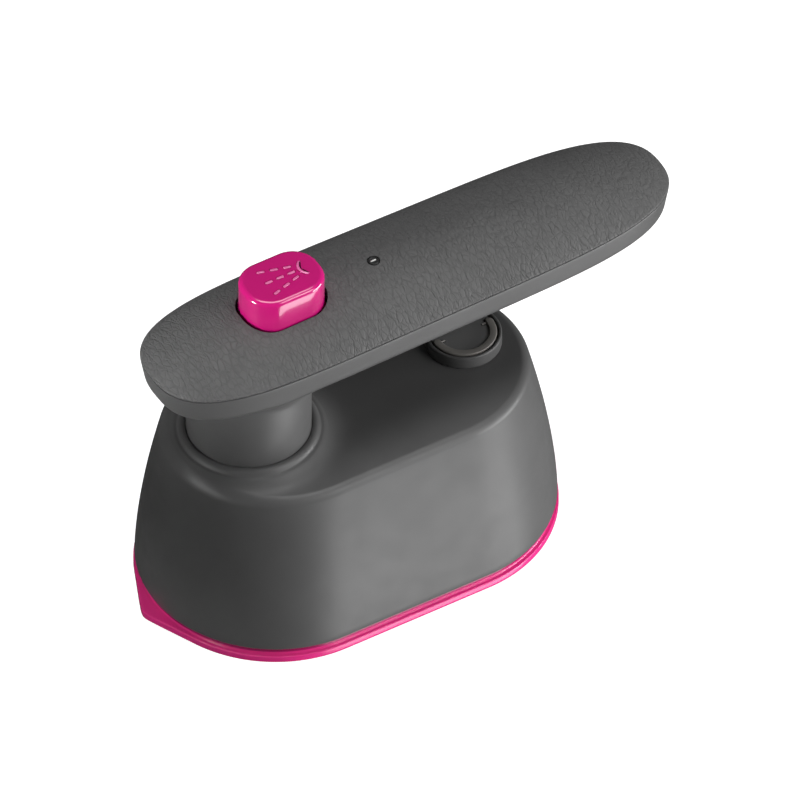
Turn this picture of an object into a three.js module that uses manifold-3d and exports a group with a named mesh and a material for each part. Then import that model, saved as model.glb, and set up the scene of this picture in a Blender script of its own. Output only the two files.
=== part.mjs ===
// Handheld mini steam iron: an oval body on a pointed soleplate, with a long flat
// handle that swivels on a round neck.
//
// Millimetres, +Z up. +X runs to the free end of the handle, the soleplate's point is
// at -X, and Z = 0 is the ironing face. The origin is the bottom centre of the object.

import * as THREE from 'three';
import { mergeVertices } from 'three/addons/utils/BufferGeometryUtils.js';
import Module from 'manifold-3d';

const wasm = await Module();
wasm.setup();

// ---------------------------------------------------------------- driving dimensions

const GAP = 0.3; // clearance between neighbouring pieces
const WALL = 2.2; // moulded wall thickness
const OVAL_STEPS = 16; // straight steps in each half of an oval outline
const HANDLE_STEPS = 40; // straight steps round the handle's outline
const ROUND = 24; // straight steps round a large circle
const SMALL_ROUND = 10; // straight steps round a small circle

// Body outline: straight sides between two half ellipses.
const BODY = {
  bottom: 4.5,
  top: 52.9,
  front: -76.5,
  rear: 42.1,
  halfWidth: 37.5,
  frontCentre: -39.3,
  rearCentre: 4.7,
  frontTaper: 6.1, // how far each side has moved in at the top
  rearTaper: 7.5,
  sideTaper: 7.4,
  lean: 1.62, // power of the height with which the sides lean in
  shoulder: 2.2,
  deck: 3.9,
};

// Soleplate: the body's outline, a little larger, drawn out to a blunt point in front.
const PLATE = {
  front: -76.8,
  rear: 42.4,
  halfWidth: 37.8,
  frontCentre: BODY.frontCentre,
  rearCentre: BODY.rearCentre,
  tip: -80,
  sharpTip: -80.6,
  band: 2.3, // height of the outer band
  stepTop: 4.2, // top of the step under the body
  stepInset: 0.9,
  pocketFloor: 2.2,
};

const SWIVEL = { x: -47.3, neck: 16.8, spigot: 12.9, bore: 9.5, bottom: 44.5, shoulder: 52.6 };

// Handle outline: |x / halfLength|^endPower + |y / halfWidth|^sidePower = 1, about its
// centre, with the width growing by `taper` towards the front.
const HANDLE = {
  centre: 1.25,
  halfLength: 78.75,
  halfWidth: 20.2,
  endPower: 4.95,
  sidePower: 2.6,
  taper: 0.068,
  endDraft: 1.5, // the ends draw in this many times as fast as the sides
  under: 79.5, // lowest point of the underside
  wallTop: 88.95,
  edge: 89.6, // rim of the crowned top
  crownRadius: 28, // across the handle
  padThickness: 1.2,
  carrierThickness: 2,
};

const BUTTON = {
  x: -37.2, length: 23.2, width: 17, corner: 7.5, top: 107.2, bevel: 1.5,
  endGap: 0.9, sideGap: 0.4, flangeBottom: 89.4, flangeTop: 90.9, post: 90.2,
};

const FILLER = { x: 19.1, collar: 10.3, rim: 57, capRadius: 9, throat: 6.9, discTop: 56.3 };

const CHAMBER = {
  front: -58, rear: 28, halfWidth: 21, frontCentre: -30, rearCentre: 6, wall: 2, top: 9.5,
};

const FRAME_PLATE = { bottom: 14.3, seat: 15, top: 16.3 };

const TANK = { front: -4, bottom: 16.6 + GAP, top: 46, wall: 1.8 };

// ---------------------------------------------------------------- solid modelling

/** Turns a closed three.js geometry into a solid that can be joined and cut. */
function toSolid(geometry) {
  const plain = geometry.index ? geometry.toNonIndexed() : geometry.clone();
  plain.deleteAttribute('normal');
  plain.deleteAttribute('uv');
  const merged = mergeVertices(plain, 1e-4);
  const positions = merged.attributes.position.array;
  const index = [];
  let volume = 0;
  const corner = [new THREE.Vector3(), new THREE.Vector3(), new THREE.Vector3()];
  for (let i = 0; i < merged.index.count; i += 3) {
    const ids = [0, 1, 2].map((k) => merged.index.getX(i + k));
    if (new Set(ids).size < 3) continue;
    ids.forEach((id, k) => corner[k].fromArray(positions, 3 * id));
    volume += corner[0].dot(corner[1].clone().cross(corner[2]));
    index.push(...ids);
  }
  if (volume < 0) index.reverse();
  const mesh = new wasm.Mesh({
    numProp: 3,
    vertProperties: new Float32Array(positions),
    triVerts: new Uint32Array(index),
  });
  return new wasm.Manifold(mesh);
}

function toGeometry(solid) {
  const mesh = solid.getMesh();
  const geometry = new THREE.BufferGeometry();
  geometry.setAttribute('position', new THREE.BufferAttribute(mesh.vertProperties, 3));
  geometry.setIndex(new THREE.BufferAttribute(mesh.triVerts, 1));
  geometry.computeVertexNormals();
  return geometry;
}

/** Closes a stack of rings, all with the same number of points, into one solid. */
function loft(rings) {
  const count = rings[0].length;
  const last = rings.length - 1;
  const points = rings.flat();
  const centre = (ring) => ring
    .reduce((sum, point) => sum.add(point), new THREE.Vector3())
    .divideScalar(count);
  const bottomCentre = points.push(centre(rings[0])) - 1;
  const topCentre = points.push(centre(rings[last])) - 1;
  const index = [];
  for (let i = 0; i < count; i++) {
    const next = (i + 1) % count;
    index.push(bottomCentre, next, i);
    index.push(topCentre, last * count + i, last * count + next);
    for (let level = 0; level < last; level++) {
      const low = level * count;
      const high = low + count;
      index.push(low + i, low + next, high + next);
      index.push(low + i, high + next, high + i);
    }
  }
  const geometry = new THREE.BufferGeometry().setFromPoints(points);
  geometry.setIndex(index);
  return toSolid(geometry);
}

const atHeight = (outline, z) => outline.map((p) => new THREE.Vector3(p.x, p.y, z));

/** A solid turned about the vertical through (x, y), from [radius, height] points. */
function turned(profile, { x = 0, y = 0, segments = ROUND } = {}) {
  const points = profile.map(([radius, height]) => new THREE.Vector2(radius, height));
  points.push(points[0].clone());
  const geometry = new THREE.LatheGeometry(points, segments);
  geometry.rotateX(Math.PI / 2);
  geometry.translate(x, y, 0);
  return toSolid(geometry);
}

/** A plain upright cylinder between two heights. */
const post = (x, y, radius, low, high, segments = SMALL_ROUND) => turned(
  [[0, low], [radius, low], [radius, high], [0, high]],
  { x, y, segments },
);

/** A box given by its lowest and highest corners. */
function block(low, high) {
  const size = high.map((value, axis) => value - low[axis]);
  const geometry = new THREE.BoxGeometry(...size);
  geometry.translate(...high.map((value, axis) => (value + low[axis]) / 2));
  return toSolid(geometry);
}

/** A rod or, with a bore, a tube along a smooth curve through the points. */
function tube(points, radius, { bore = 0, steps = 24, sides = 8 } = {}) {
  const path = new THREE.CatmullRomCurve3(
    points.map((p) => new THREE.Vector3(...p)), false, 'catmullrom', 0.5,
  );
  const ring = (r) => Array.from({ length: sides }, (_, i) => {
    const angle = (2 * Math.PI * i) / sides;
    return new THREE.Vector2(r * Math.cos(angle), r * Math.sin(angle));
  });
  const section = new THREE.Shape(ring(radius));
  if (bore > 0) section.holes.push(new THREE.Path(ring(bore).reverse()));
  return toSolid(new THREE.ExtrudeGeometry(section, { steps, extrudePath: path }));
}

// ---------------------------------------------------------------- outlines

/** Two half ellipses joined by straight sides. */
function oval(shape, inset = 0) {
  const halfWidth = shape.halfWidth - inset;
  const points = [];
  const halfEllipse = (centre, reach, from) => {
    for (let i = 0; i <= OVAL_STEPS; i++) {
      const angle = from + (i / OVAL_STEPS) * Math.PI;
      const x = centre + reach * Math.cos(angle);
      points.push(new THREE.Vector2(x, halfWidth * Math.sin(angle)));
    }
  };
  halfEllipse(shape.rearCentre, shape.rear - inset - shape.rearCentre, -Math.PI / 2);
  halfEllipse(shape.frontCentre, shape.frontCentre - shape.front - inset, Math.PI / 2);
  return points;
}

/** The soleplate's oval, with its front drawn out along two tangents to a blunt point. */
function plateOutline(inset = 0) {
  const reach = PLATE.frontCentre - PLATE.front;
  const cosine = reach / (PLATE.frontCentre - PLATE.sharpTip);
  const touchY = PLATE.halfWidth * Math.sqrt(1 - cosine * cosine);
  const touchX = PLATE.frontCentre - reach * cosine;
  const lean = (touchX - PLATE.sharpTip) / touchY;
  const bluntness = (PLATE.tip - PLATE.sharpTip) / lean;
  return oval(PLATE, inset).map((point) => {
    if (point.x > PLATE.frontCentre || Math.abs(point.y) > touchY) return point;
    const x = PLATE.sharpTip + inset + lean * Math.hypot(point.y, bluntness);
    return new THREE.Vector2(Math.min(x, point.x), point.y);
  });
}

/** The body's oval at a height: the sides lean in more and more towards the top. */
function bodyShape(z) {
  const rise = (z - BODY.bottom) / (BODY.top - BODY.bottom);
  const lean = rise ** BODY.lean;
  return {
    front: BODY.front + BODY.frontTaper * lean,
    rear: BODY.rear - BODY.rearTaper * lean,
    halfWidth: BODY.halfWidth - BODY.sideTaper * lean,
    frontCentre: BODY.frontCentre + 2.7 * rise,
    rearCentre: BODY.rearCentre - 1.3 * rise,
  };
}

const bodyRing = (z, inset = 0) => atHeight(oval(bodyShape(z), inset), z);

/** Rings at shares of the way from one height to another. */
const bodyRings = (from, to, shares, inset = 0) => shares
  .map((share) => bodyRing(from + share * (to - from), inset));

/** Rings round the body's rounded top edge, which may stand higher by `lift`. */
function shoulderRings(lift = 0) {
  const { top, shoulder } = BODY;
  return [0, 25, 50, 72, 90].map((degrees) => {
    const angle = THREE.MathUtils.degToRad(degrees);
    const shape = bodyShape(top - shoulder * (1 - Math.sin(angle)));
    const outline = oval(shape, shoulder * (1 - Math.cos(angle)));
    return atHeight(outline, top - shoulder + (shoulder + lift) * Math.sin(angle));
  });
}

/** The handle's outline about its own centre. */
function handleOutline(inset = 0) {
  const a = HANDLE.halfLength - HANDLE.endDraft * inset;
  const b = HANDLE.halfWidth - inset;
  const share = (value, power) => Math.sign(value) * Math.abs(value) ** (2 / power);
  return Array.from({ length: HANDLE_STEPS }, (_, i) => {
    const angle = (2 * Math.PI * i) / HANDLE_STEPS;
    const along = share(Math.cos(angle), HANDLE.endPower);
    const across = share(Math.sin(angle), HANDLE.sidePower);
    return new THREE.Vector2(a * along, b * across * (1 - HANDLE.taper * along));
  });
}

/** Height of the crowned top above a point given from the handle's centre. */
function crownHeight(x, y) {
  const along = THREE.MathUtils.clamp(x / HANDLE.halfLength, -1, 1);
  const fullness = (1 - Math.abs(along) ** HANDLE.endPower) ** (1 / HANDLE.sidePower);
  const halfWidth = HANDLE.halfWidth * (1 - HANDLE.taper * along) * fullness;
  const arc = (offset) => Math.sqrt(HANDLE.crownRadius ** 2 - offset ** 2);
  return HANDLE.edge + arc(y) - arc(Math.max(halfWidth, Math.abs(y)));
}

/** One ring of the crowned surface, `drop` below it, shrunk to `share` of the outline. */
const crownRing = (inset, share, drop, lowest = 0) => handleOutline(inset).map((point) => {
  const x = point.x * share;
  const y = point.y * share;
  return new THREE.Vector3(x + HANDLE.centre, y, Math.max(crownHeight(x, y) - drop, lowest));
});

const handleRing = (z, inset) => handleOutline(inset)
  .map((point) => new THREE.Vector3(point.x + HANDLE.centre, point.y, z));

/** A rectangle with round corners. */
function roundedRectangle(length, width, corner, stepsPerCorner = 6) {
  const points = [];
  const centres = [[1, -1, -0.5], [1, 1, 0], [-1, 1, 0.5], [-1, -1, 1]];
  for (const [sideX, sideY, turn] of centres) {
    for (let i = 0; i <= stepsPerCorner; i++) {
      const angle = (turn + (0.5 * i) / stepsPerCorner) * Math.PI;
      points.push(new THREE.Vector2(
        sideX * (length / 2 - corner) + corner * Math.cos(angle),
        sideY * (width / 2 - corner) + corner * Math.sin(angle),
      ));
    }
  }
  return points;
}

const buttonRing = (z, grow, growSide = grow) => roundedRectangle(
  BUTTON.length + 2 * grow, BUTTON.width + 2 * growSide, BUTTON.corner + growSide,
).map((point) => new THREE.Vector3(point.x + BUTTON.x, point.y, z));

// ---------------------------------------------------------------- materials

const material = (color, roughness, metalness = 0) => new THREE.MeshStandardMaterial(
  { color, roughness, metalness },
);

const MATERIALS = {
  charcoal: material(0x4a4a4a, 0.5),
  leather: material(0x5c5c5c, 0.75),
  pinkPlate: material(0xe8408f, 0.2, 0.1),
  pinkGloss: material(0xc4207a, 0.15),
  blackPlastic: material(0x1d1d1f, 0.6),
  tankPlastic: material(0xb9c6cc, 0.15),
  rubber: material(0x2a2a2c, 0.85),
  silicone: material(0xc9c4bb, 0.7),
  steel: material(0x9a9da1, 0.35, 1),
  aluminium: material(0xb8babd, 0.45, 1),
  brass: material(0xb89a4a, 0.35, 1),
  board: material(0x1f6b3a, 0.5),
  ceramic: material(0xe6e0d4, 0.6),
  lens: material(0xf2f2f2, 0.2),
};

const iron = new THREE.Group();
iron.name = 'handheld_steamer';

function add(name, solid, finish) {
  const mesh = new THREE.Mesh(toGeometry(solid), MATERIALS[finish]);
  mesh.name = name;
  iron.add(mesh);
}

/** A pan-head screw: the head is at `seat`, and the shank runs from it along +Z or -Z. */
function screw(x, y, seat, length, direction, head = 2.6, shank = 1.1) {
  const headHeight = 1.3;
  const tip = seat + direction * length;
  const back = seat - direction * headHeight;
  const profile = [
    [0, tip], [shank * 0.6, tip], [shank, tip - direction * 0.8], [shank, seat],
    [head, seat], [head, back + direction * 0.4], [head - 0.5, back], [0, back],
  ];
  const body = turned(profile, { x, y, segments: SMALL_ROUND });
  const slot = { half: 0.3, deep: 0.7 };
  const cutEnd = back + direction * slot.deep;
  const low = Math.min(back - direction * 0.5, cutEnd);
  const high = Math.max(back - direction * 0.5, cutEnd);
  const cross = block([x - head * 0.6, y - slot.half, low], [x + head * 0.6, y + slot.half, high])
    .add(block([x - slot.half, y - head * 0.6, low], [x + slot.half, y + head * 0.6, high]));
  return body.subtract(cross);
}

// ---------------------------------------------------------------- soleplate and steam chamber

const COVER_SCREWS = [[-44, 9], [-44, -9], [12, 9], [12, -9]];
const FRAME_SCREWS = [[-70.2, 0], [31, 16], [31, -16]];
const STEAM_ROWS = 5;

function steamHoles() {
  const places = [[-52.5, 0]];
  for (let row = 0; row < STEAM_ROWS; row++) {
    const x = -44.5 + 13 * row;
    const y = 13.2 + 0.9 * row;
    places.push([x, y], [x, -y]);
  }
  return places.map(([x, y]) => post(x, y, 1.25, -1, PLATE.pocketFloor + 1, 10));
}

function soleplate() {
  const { band, stepTop, stepInset } = PLATE;
  const step = oval(PLATE, stepInset + GAP);
  let plate = loft([
    atHeight(plateOutline(0.5), 0),
    atHeight(plateOutline(), 0.5),
    atHeight(plateOutline(), band),
    atHeight(step, band + 0.4),
    atHeight(step, stepTop),
  ]);
  const chamberWall = loft([atHeight(oval(CHAMBER), band), atHeight(oval(CHAMBER), CHAMBER.top)]);
  const pocket = oval(CHAMBER, CHAMBER.wall);
  plate = plate.add(chamberWall);
  plate = plate.subtract(loft([atHeight(pocket, PLATE.pocketFloor), atHeight(pocket, 20)]));
  for (const [x, y] of COVER_SCREWS) {
    plate = plate.add(post(x, y, 3, PLATE.pocketFloor - 0.5, CHAMBER.top));
    plate = plate.subtract(post(x, y, 1.4, 4, 20));
  }
  for (const [x, y] of FRAME_SCREWS) {
    plate = plate.add(post(x, y, 2.8, band, FRAME_PLATE.bottom - GAP));
    plate = plate.subtract(post(x, y, 1.4, 5, 20));
  }
  for (const hole of steamHoles()) plate = plate.subtract(hole);
  return plate;
}

function heatingElement() {
  const z = 7.7;
  const arm = 25;
  const rearEnd = 16;
  const frontCentre = -34;
  const reach = 28;
  const points = [[rearEnd + 4, arm, z + 5.6], [rearEnd + 3, arm, z + 2.4], [rearEnd, arm, z]];
  for (const x of [0, -17, frontCentre]) points.push([x, arm, z]);
  for (const degrees of [22, 45, 68, 90]) {
    const angle = THREE.MathUtils.degToRad(degrees);
    points.push([frontCentre - reach * Math.sin(angle), arm * Math.cos(angle), z]);
  }
  const mirrored = points.slice(0, -1).reverse().map(([x, y, height]) => [x, -y, height]);
  return tube([...points, ...mirrored], 2.8, { steps: 44, sides: 8 });
}

const COVER = { bottom: 10.9, top: 12.4, nippleX: -52 };

function chamberGasket() {
  const low = CHAMBER.top + GAP;
  const high = COVER.bottom - GAP;
  const outer = oval(CHAMBER, 0.2);
  const inner = oval(CHAMBER, CHAMBER.wall - 0.2);
  return loft([atHeight(outer, low), atHeight(outer, high)])
    .subtract(loft([atHeight(inner, low - 1), atHeight(inner, high + 1)]));
}

function chamberCover() {
  const outline = oval(CHAMBER, 0.2);
  let cover = loft([atHeight(outline, COVER.bottom), atHeight(outline, COVER.top)]);
  cover = cover.add(post(COVER.nippleX, 0, 2, COVER.bottom, COVER.top + 5));
  cover = cover.subtract(post(COVER.nippleX, 0, 1, 0, 30));
  for (const [x, y] of COVER_SCREWS) cover = cover.subtract(post(x, y, 1.5, 0, 30));
  return cover;
}

add('soleplate', soleplate(), 'pinkPlate');
add('heating_element', heatingElement(), 'steel');
add('chamber_gasket', chamberGasket(), 'silicone');
add('chamber_cover', chamberCover(), 'aluminium');
COVER_SCREWS.forEach(([x, y], i) => {
  add(`cover_screw_${i + 1}`, screw(x, y, COVER.top + GAP, 7, -1, 2.4), 'steel');
});

// ---------------------------------------------------------------- thermostat and fuse

const THERMOSTAT = { x: -12, radius: 6.2, bottom: COVER.top + GAP };

function thermostat() {
  const { x, radius, bottom } = THERMOSTAT;
  const can = turned([
    [0, bottom], [radius, bottom], [radius, bottom + 4.5], [radius - 0.8, bottom + 5.2],
    [0, bottom + 5.2],
  ], { x, segments: 20 });
  const tabs = [-1, 1].map((side) => block(
    [x - 1.5, side * 3.6 - 0.4, bottom + 5], [x + 1.5, side * 3.6 + 0.4, bottom + 9],
  ));
  return can.add(tabs[0]).add(tabs[1]);
}

const FUSE = { x: 31.6, z: 6.9, radius: 1.6, halfLength: 6 };

function thermalFuse() {
  const { x, z, radius, halfLength } = FUSE;
  const lead = 4;
  const profile = [
    [0, -halfLength - lead], [0.5, -halfLength - lead], [0.5, -halfLength], [radius, -halfLength],
    [radius, halfLength], [0.5, halfLength], [0.5, halfLength + lead], [0, halfLength + lead],
  ];
  const geometry = new THREE.LatheGeometry(
    profile.map(([r, h]) => new THREE.Vector2(r, h)), SMALL_ROUND,
  );
  geometry.translate(x, 0, z);
  return toSolid(geometry);
}

const FUSE_CLIP = { halfWidth: 2, foot: 37.5 };

function fuseClip() {
  const { x, z, radius } = FUSE;
  const inner = radius + GAP;
  const outer = inner + 0.5;
  const base = PLATE.stepTop + GAP;
  const shape = new THREE.Shape();
  shape.moveTo(x - outer, base);
  shape.lineTo(x - outer, z);
  shape.absarc(x, z, outer, Math.PI, 0, true);
  shape.lineTo(x + outer, base + 0.5);
  shape.lineTo(FUSE_CLIP.foot, base + 0.5);
  shape.lineTo(FUSE_CLIP.foot, base);
  shape.lineTo(x + inner, base);
  shape.lineTo(x + inner, z);
  shape.absarc(x, z, inner, 0, Math.PI, false);
  shape.lineTo(x - inner, base);
  shape.closePath();
  const depth = 2 * FUSE_CLIP.halfWidth;
  const geometry = new THREE.ExtrudeGeometry(
    shape, { depth, bevelEnabled: false, curveSegments: 8 },
  );
  geometry.rotateX(Math.PI / 2);
  geometry.translate(0, FUSE_CLIP.halfWidth, 0);
  return toSolid(geometry);
}

add('thermostat', thermostat(), 'ceramic');
add('thermal_fuse', thermalFuse(), 'ceramic');
add('fuse_clip', fuseClip(), 'steel');

// ---------------------------------------------------------------- inner frame

const PUMP = { rear: -20, front: -40, halfWidth: 8, bottom: 17, top: 33 };
const PUMP_FEET = [[-30, 12.4], [-30, -12.4]];
const SHELL_SCREWS = [[-14, 22], [-14, -22]];

function innerFrame() {
  const { bottom, top } = FRAME_PLATE;
  const inset = WALL + 0.6;
  let frame = loft([bodyRing(bottom, inset), bodyRing(top, inset)]);
  frame = frame.subtract(post(THERMOSTAT.x, 0, THERMOSTAT.radius + 0.8, 0, 30, 20));
  frame = frame.subtract(post(COVER.nippleX, 0, 3.8, 0, 30));
  for (const [x, y] of FRAME_SCREWS) {
    frame = frame.subtract(post(x, y, 1.6, 0, 30));
    frame = frame.subtract(post(x, y, 2.9, FRAME_PLATE.seat, 30));
  }
  for (const [x, y] of SHELL_SCREWS) frame = frame.subtract(post(x, y, 1.6, 0, 30));
  for (const [x, y] of PUMP_FEET) frame = frame.subtract(post(x, y, 1.4, 0, 30));
  return frame;
}

add('inner_frame', innerFrame(), 'blackPlastic');
FRAME_SCREWS.forEach(([x, y], i) => {
  add(`frame_screw_${i + 1}`, screw(x, y, FRAME_PLATE.seat + GAP, 8, -1, 2.4), 'steel');
});
SHELL_SCREWS.forEach(([x, y], i) => {
  add(`shell_screw_${i + 1}`, screw(x, y, FRAME_PLATE.bottom - GAP, 12, 1, 1.9), 'steel');
});

// ---------------------------------------------------------------- pump and tubes

function pump() {
  const { rear, front, halfWidth, bottom, top } = PUMP;
  const middle = (top + bottom) / 2;
  const coil = block([front + 3, -halfWidth, bottom], [rear - 3, halfWidth, top]);
  const length = rear - front;
  const core = new THREE.CylinderGeometry(4.6, 4.6, length, 18);
  core.rotateZ(Math.PI / 2);
  core.translate((rear + front) / 2, 0, middle);
  const nipple = new THREE.CylinderGeometry(1.6, 1.6, length + 8, SMALL_ROUND);
  nipple.rotateZ(Math.PI / 2);
  nipple.translate((rear + front) / 2, 0, middle);
  return coil.add(toSolid(core)).add(toSolid(nipple));
}

function pumpBracket() {
  const { halfWidth, top } = PUMP;
  const inner = halfWidth + GAP;
  const outer = inner + 0.8;
  const foot = 15;
  const base = FRAME_PLATE.top + GAP;
  const outline = [
    [-foot, base], [-inner, base], [-inner, top + GAP], [inner, top + GAP], [inner, base],
    [foot, base], [foot, base + 0.8], [outer, base + 0.8], [outer, top + GAP + 0.8],
    [-outer, top + GAP + 0.8], [-outer, base + 0.8], [-foot, base + 0.8],
  ];
  const shape = new THREE.Shape(outline.map(([y, z]) => new THREE.Vector2(y, z)));
  const geometry = new THREE.ExtrudeGeometry(shape, { depth: 8, bevelEnabled: false });
  // The drawing plane's x becomes Y and its y becomes Z.
  geometry.rotateX(Math.PI / 2);
  geometry.rotateZ(Math.PI / 2);
  geometry.translate(-34, 0, 0);
  let bracket = toSolid(geometry);
  for (const [x, y] of PUMP_FEET) bracket = bracket.subtract(post(x, y, 1.4, 0, 30));
  return bracket;
}

const PUMP_MIDDLE = (PUMP.top + PUMP.bottom) / 2;

function deliveryTube() {
  const start = PUMP.front - 1;
  const end = COVER.top + 1.2;
  return tube([
    [start, 0, PUMP_MIDDLE], [start - 3.5, 0, PUMP_MIDDLE - 0.4], [start - 8, 0, PUMP_MIDDLE - 3],
    [COVER.nippleX, 0, PUMP_MIDDLE - 7.5], [COVER.nippleX, 0, end],
  ], 3.1, { bore: 2.5, steps: 14, sides: 8 });
}

function suctionTube() {
  const start = PUMP.rear + 1;
  return tube([
    [start, 0, PUMP_MIDDLE], [start + 4, 0, PUMP_MIDDLE], [TANK.front - 0.6, 0, PUMP_MIDDLE],
  ], 2.9, { bore: 2.1, steps: 2, sides: 8 });
}

add('pump', pump(), 'blackPlastic');
add('pump_bracket', pumpBracket(), 'steel');
PUMP_FEET.forEach(([x, y], i) => {
  add(`pump_screw_${i + 1}`, screw(x, y, FRAME_PLATE.top + 1.1 + GAP, 4, -1, 2), 'steel');
});
add('suction_tube', suctionTube(), 'silicone');
add('delivery_tube', deliveryTube(), 'silicone');

// ---------------------------------------------------------------- water tank and filler

/** The body's inside shape behind the tank's flat front wall. */
function tankBody(inset) {
  const low = TANK.bottom + inset;
  const high = TANK.top - inset;
  const box = block([TANK.front + inset, -40, low], [50, 40, high]);
  return loft(bodyRings(low, high, [0, 0.35, 0.7, 1], WALL + 0.7 + inset)).intersect(box);
}

function waterTank() {
  let tank = tankBody(0);
  const spout = new THREE.CylinderGeometry(1.7, 1.7, 8, SMALL_ROUND);
  spout.rotateZ(Math.PI / 2);
  spout.translate(TANK.front - 1.5, 0, PUMP_MIDDLE);
  const spoutBore = new THREE.CylinderGeometry(0.9, 0.9, 14, SMALL_ROUND);
  spoutBore.rotateZ(Math.PI / 2);
  spoutBore.translate(TANK.front - 1.5, 0, PUMP_MIDDLE);
  tank = tank.add(toSolid(spout));
  tank = tank.subtract(tankBody(TANK.wall));
  tank = tank.subtract(post(FILLER.x, 0, FILLER.throat, TANK.top - 4, 60, ROUND));
  return tank.subtract(toSolid(spoutBore));
}

/** A soft sleeve that joins the tank's filler hole to the collar above it. */
function fillerSleeve() {
  const { x, throat } = FILLER;
  const foot = TANK.top + GAP;
  const top = BODY.top - 0.7;
  const flange = throat + 2.2;
  return turned([
    [throat, foot], [flange, foot], [flange, foot + 1.2], [throat + 1.1, foot + 1.2],
    [throat + 1.1, top], [throat, top],
  ], { x });
}

function fillerCollar() {
  const { x, collar, rim, capRadius, throat } = FILLER;
  const foot = BODY.top + GAP;
  const bore = capRadius + 0.45;
  const ledge = foot + 0.9;
  return turned([
    [throat, foot - 0.7], [throat + 1.1, foot - 0.7], [throat + 1.1, foot], [collar, foot],
    [collar, rim - 0.4], [collar - 0.3, rim], [bore, rim], [bore, ledge], [throat, ledge],
  ], { x });
}

add('water_tank', waterTank(), 'tankPlastic');
add('filler_sleeve', fillerSleeve(), 'silicone');
add('filler_collar', fillerCollar(), 'charcoal');

// ---------------------------------------------------------------- filler cap and bail

const BAIL = { inner: 7, thickness: 1.1, bottom: 56.1, pivotZ: 56.5, pin: 0.3 };

function fillerCap() {
  const { x, capRadius, throat, discTop } = FILLER;
  const discBottom = 54.4;
  const plug = throat - 0.7;
  const groove = plug - 0.8;
  const plugBottom = 47.8;
  const hollowTop = 53.2;
  let cap = turned([
    [plug - 1.4, plugBottom], [plug, plugBottom], [plug, 49.4], [groove, 49.4], [groove, 51.4],
    [plug, 51.4], [plug, discBottom], [capRadius, discBottom], [capRadius, discTop - 0.3],
    [capRadius - 0.3, discTop], [0, discTop], [0, hollowTop], [plug - 1.4, hollowTop],
  ], { x });
  // The bail lies in a shallow half-round recess, with a deeper pocket under each end.
  const past = 1.4;
  const recess = (floor, from) => turned([
    [BAIL.inner - 0.25, floor], [capRadius + 1, floor],
    [capRadius + 1, 60], [BAIL.inner - 0.25, 60],
  ], { x }).intersect(block([x - 20, from, 50], [x + 20, past, 70]));
  cap = cap.subtract(recess(BAIL.bottom - GAP, -20));
  cap = cap.subtract(recess(BAIL.bottom - 1.1, -1.6));
  const half = BAIL.pin + 0.25;
  const slot = block([x - BAIL.inner, -half, BAIL.pivotZ - half], [x + BAIL.inner, half, 60]);
  const keep = post(x, 0, BAIL.inner - 1.7, 50, 70, ROUND);
  return cap.subtract(slot.subtract(keep));
}

function capSeal() {
  const { x, throat } = FILLER;
  return turned([
    [throat - 1.3, 49.8], [throat - 0.6, 49.8], [throat - 0.3, 50.4], [throat - 0.6, 51],
    [throat - 1.3, 51],
  ], { x });
}

function capBail() {
  const { x, capRadius } = FILLER;
  const { inner, thickness, bottom, pivotZ, pin } = BAIL;
  const middle = (inner + capRadius) / 2;
  const half = (capRadius - inner) / 2;
  const shape = new THREE.Shape();
  shape.moveTo(capRadius, 0);
  shape.absarc(middle, 0, half, 0, Math.PI, false);
  shape.absarc(0, 0, inner, 0, -Math.PI, true);
  shape.absarc(-middle, 0, half, 0, Math.PI, false);
  shape.absarc(0, 0, capRadius, Math.PI, 2 * Math.PI, false);
  const geometry = new THREE.ExtrudeGeometry(
    shape, { depth: thickness, bevelEnabled: false, curveSegments: 18 },
  );
  geometry.translate(x, 0, bottom);
  let bail = toSolid(geometry);
  for (const side of [-1, 1]) {
    const pinGeometry = new THREE.CylinderGeometry(pin, pin, 1.8, 10);
    pinGeometry.rotateZ(Math.PI / 2);
    pinGeometry.translate(x + side * (inner - 0.4), 0, pivotZ);
    bail = bail.add(toSolid(pinGeometry));
  }
  return bail;
}

add('filler_cap', fillerCap(), 'charcoal');
add('cap_seal', capSeal(), 'silicone');
add('cap_bail', capBail(), 'charcoal');

// ---------------------------------------------------------------- body shell

// The deck rises to a ring round the foot of the neck; `lift` is its rise at the shoulder.
const BOSS = { inner: SWIVEL.neck + 0.3, floor: 51, lift: 1, reach: 43 };

function swivelBoss() {
  const under = BODY.top - 1;
  const slope = [
    [17.5, 57.2], [18.2, 57.2], [18.8, 56.7], [19.4, 56.3], [20.6, 55.8], [22.2, 55.1],
    [24.5, 54.5], [28, 53.95], [33, 53.35], [38, 53.05],
  ];
  const rise = turned([
    [BOSS.inner, under], [BOSS.inner, 56.7], ...slope, [BOSS.reach, BODY.top + 0.05],
    [BOSS.reach, under],
  ], { x: SWIVEL.x, segments: 36 });
  const limit = shoulderRings(BOSS.lift);
  const last = limit[limit.length - 1];
  limit.push(last.map((point) => new THREE.Vector3(point.x, point.y, 60)));
  return rise.intersect(loft(limit));
}

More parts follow.
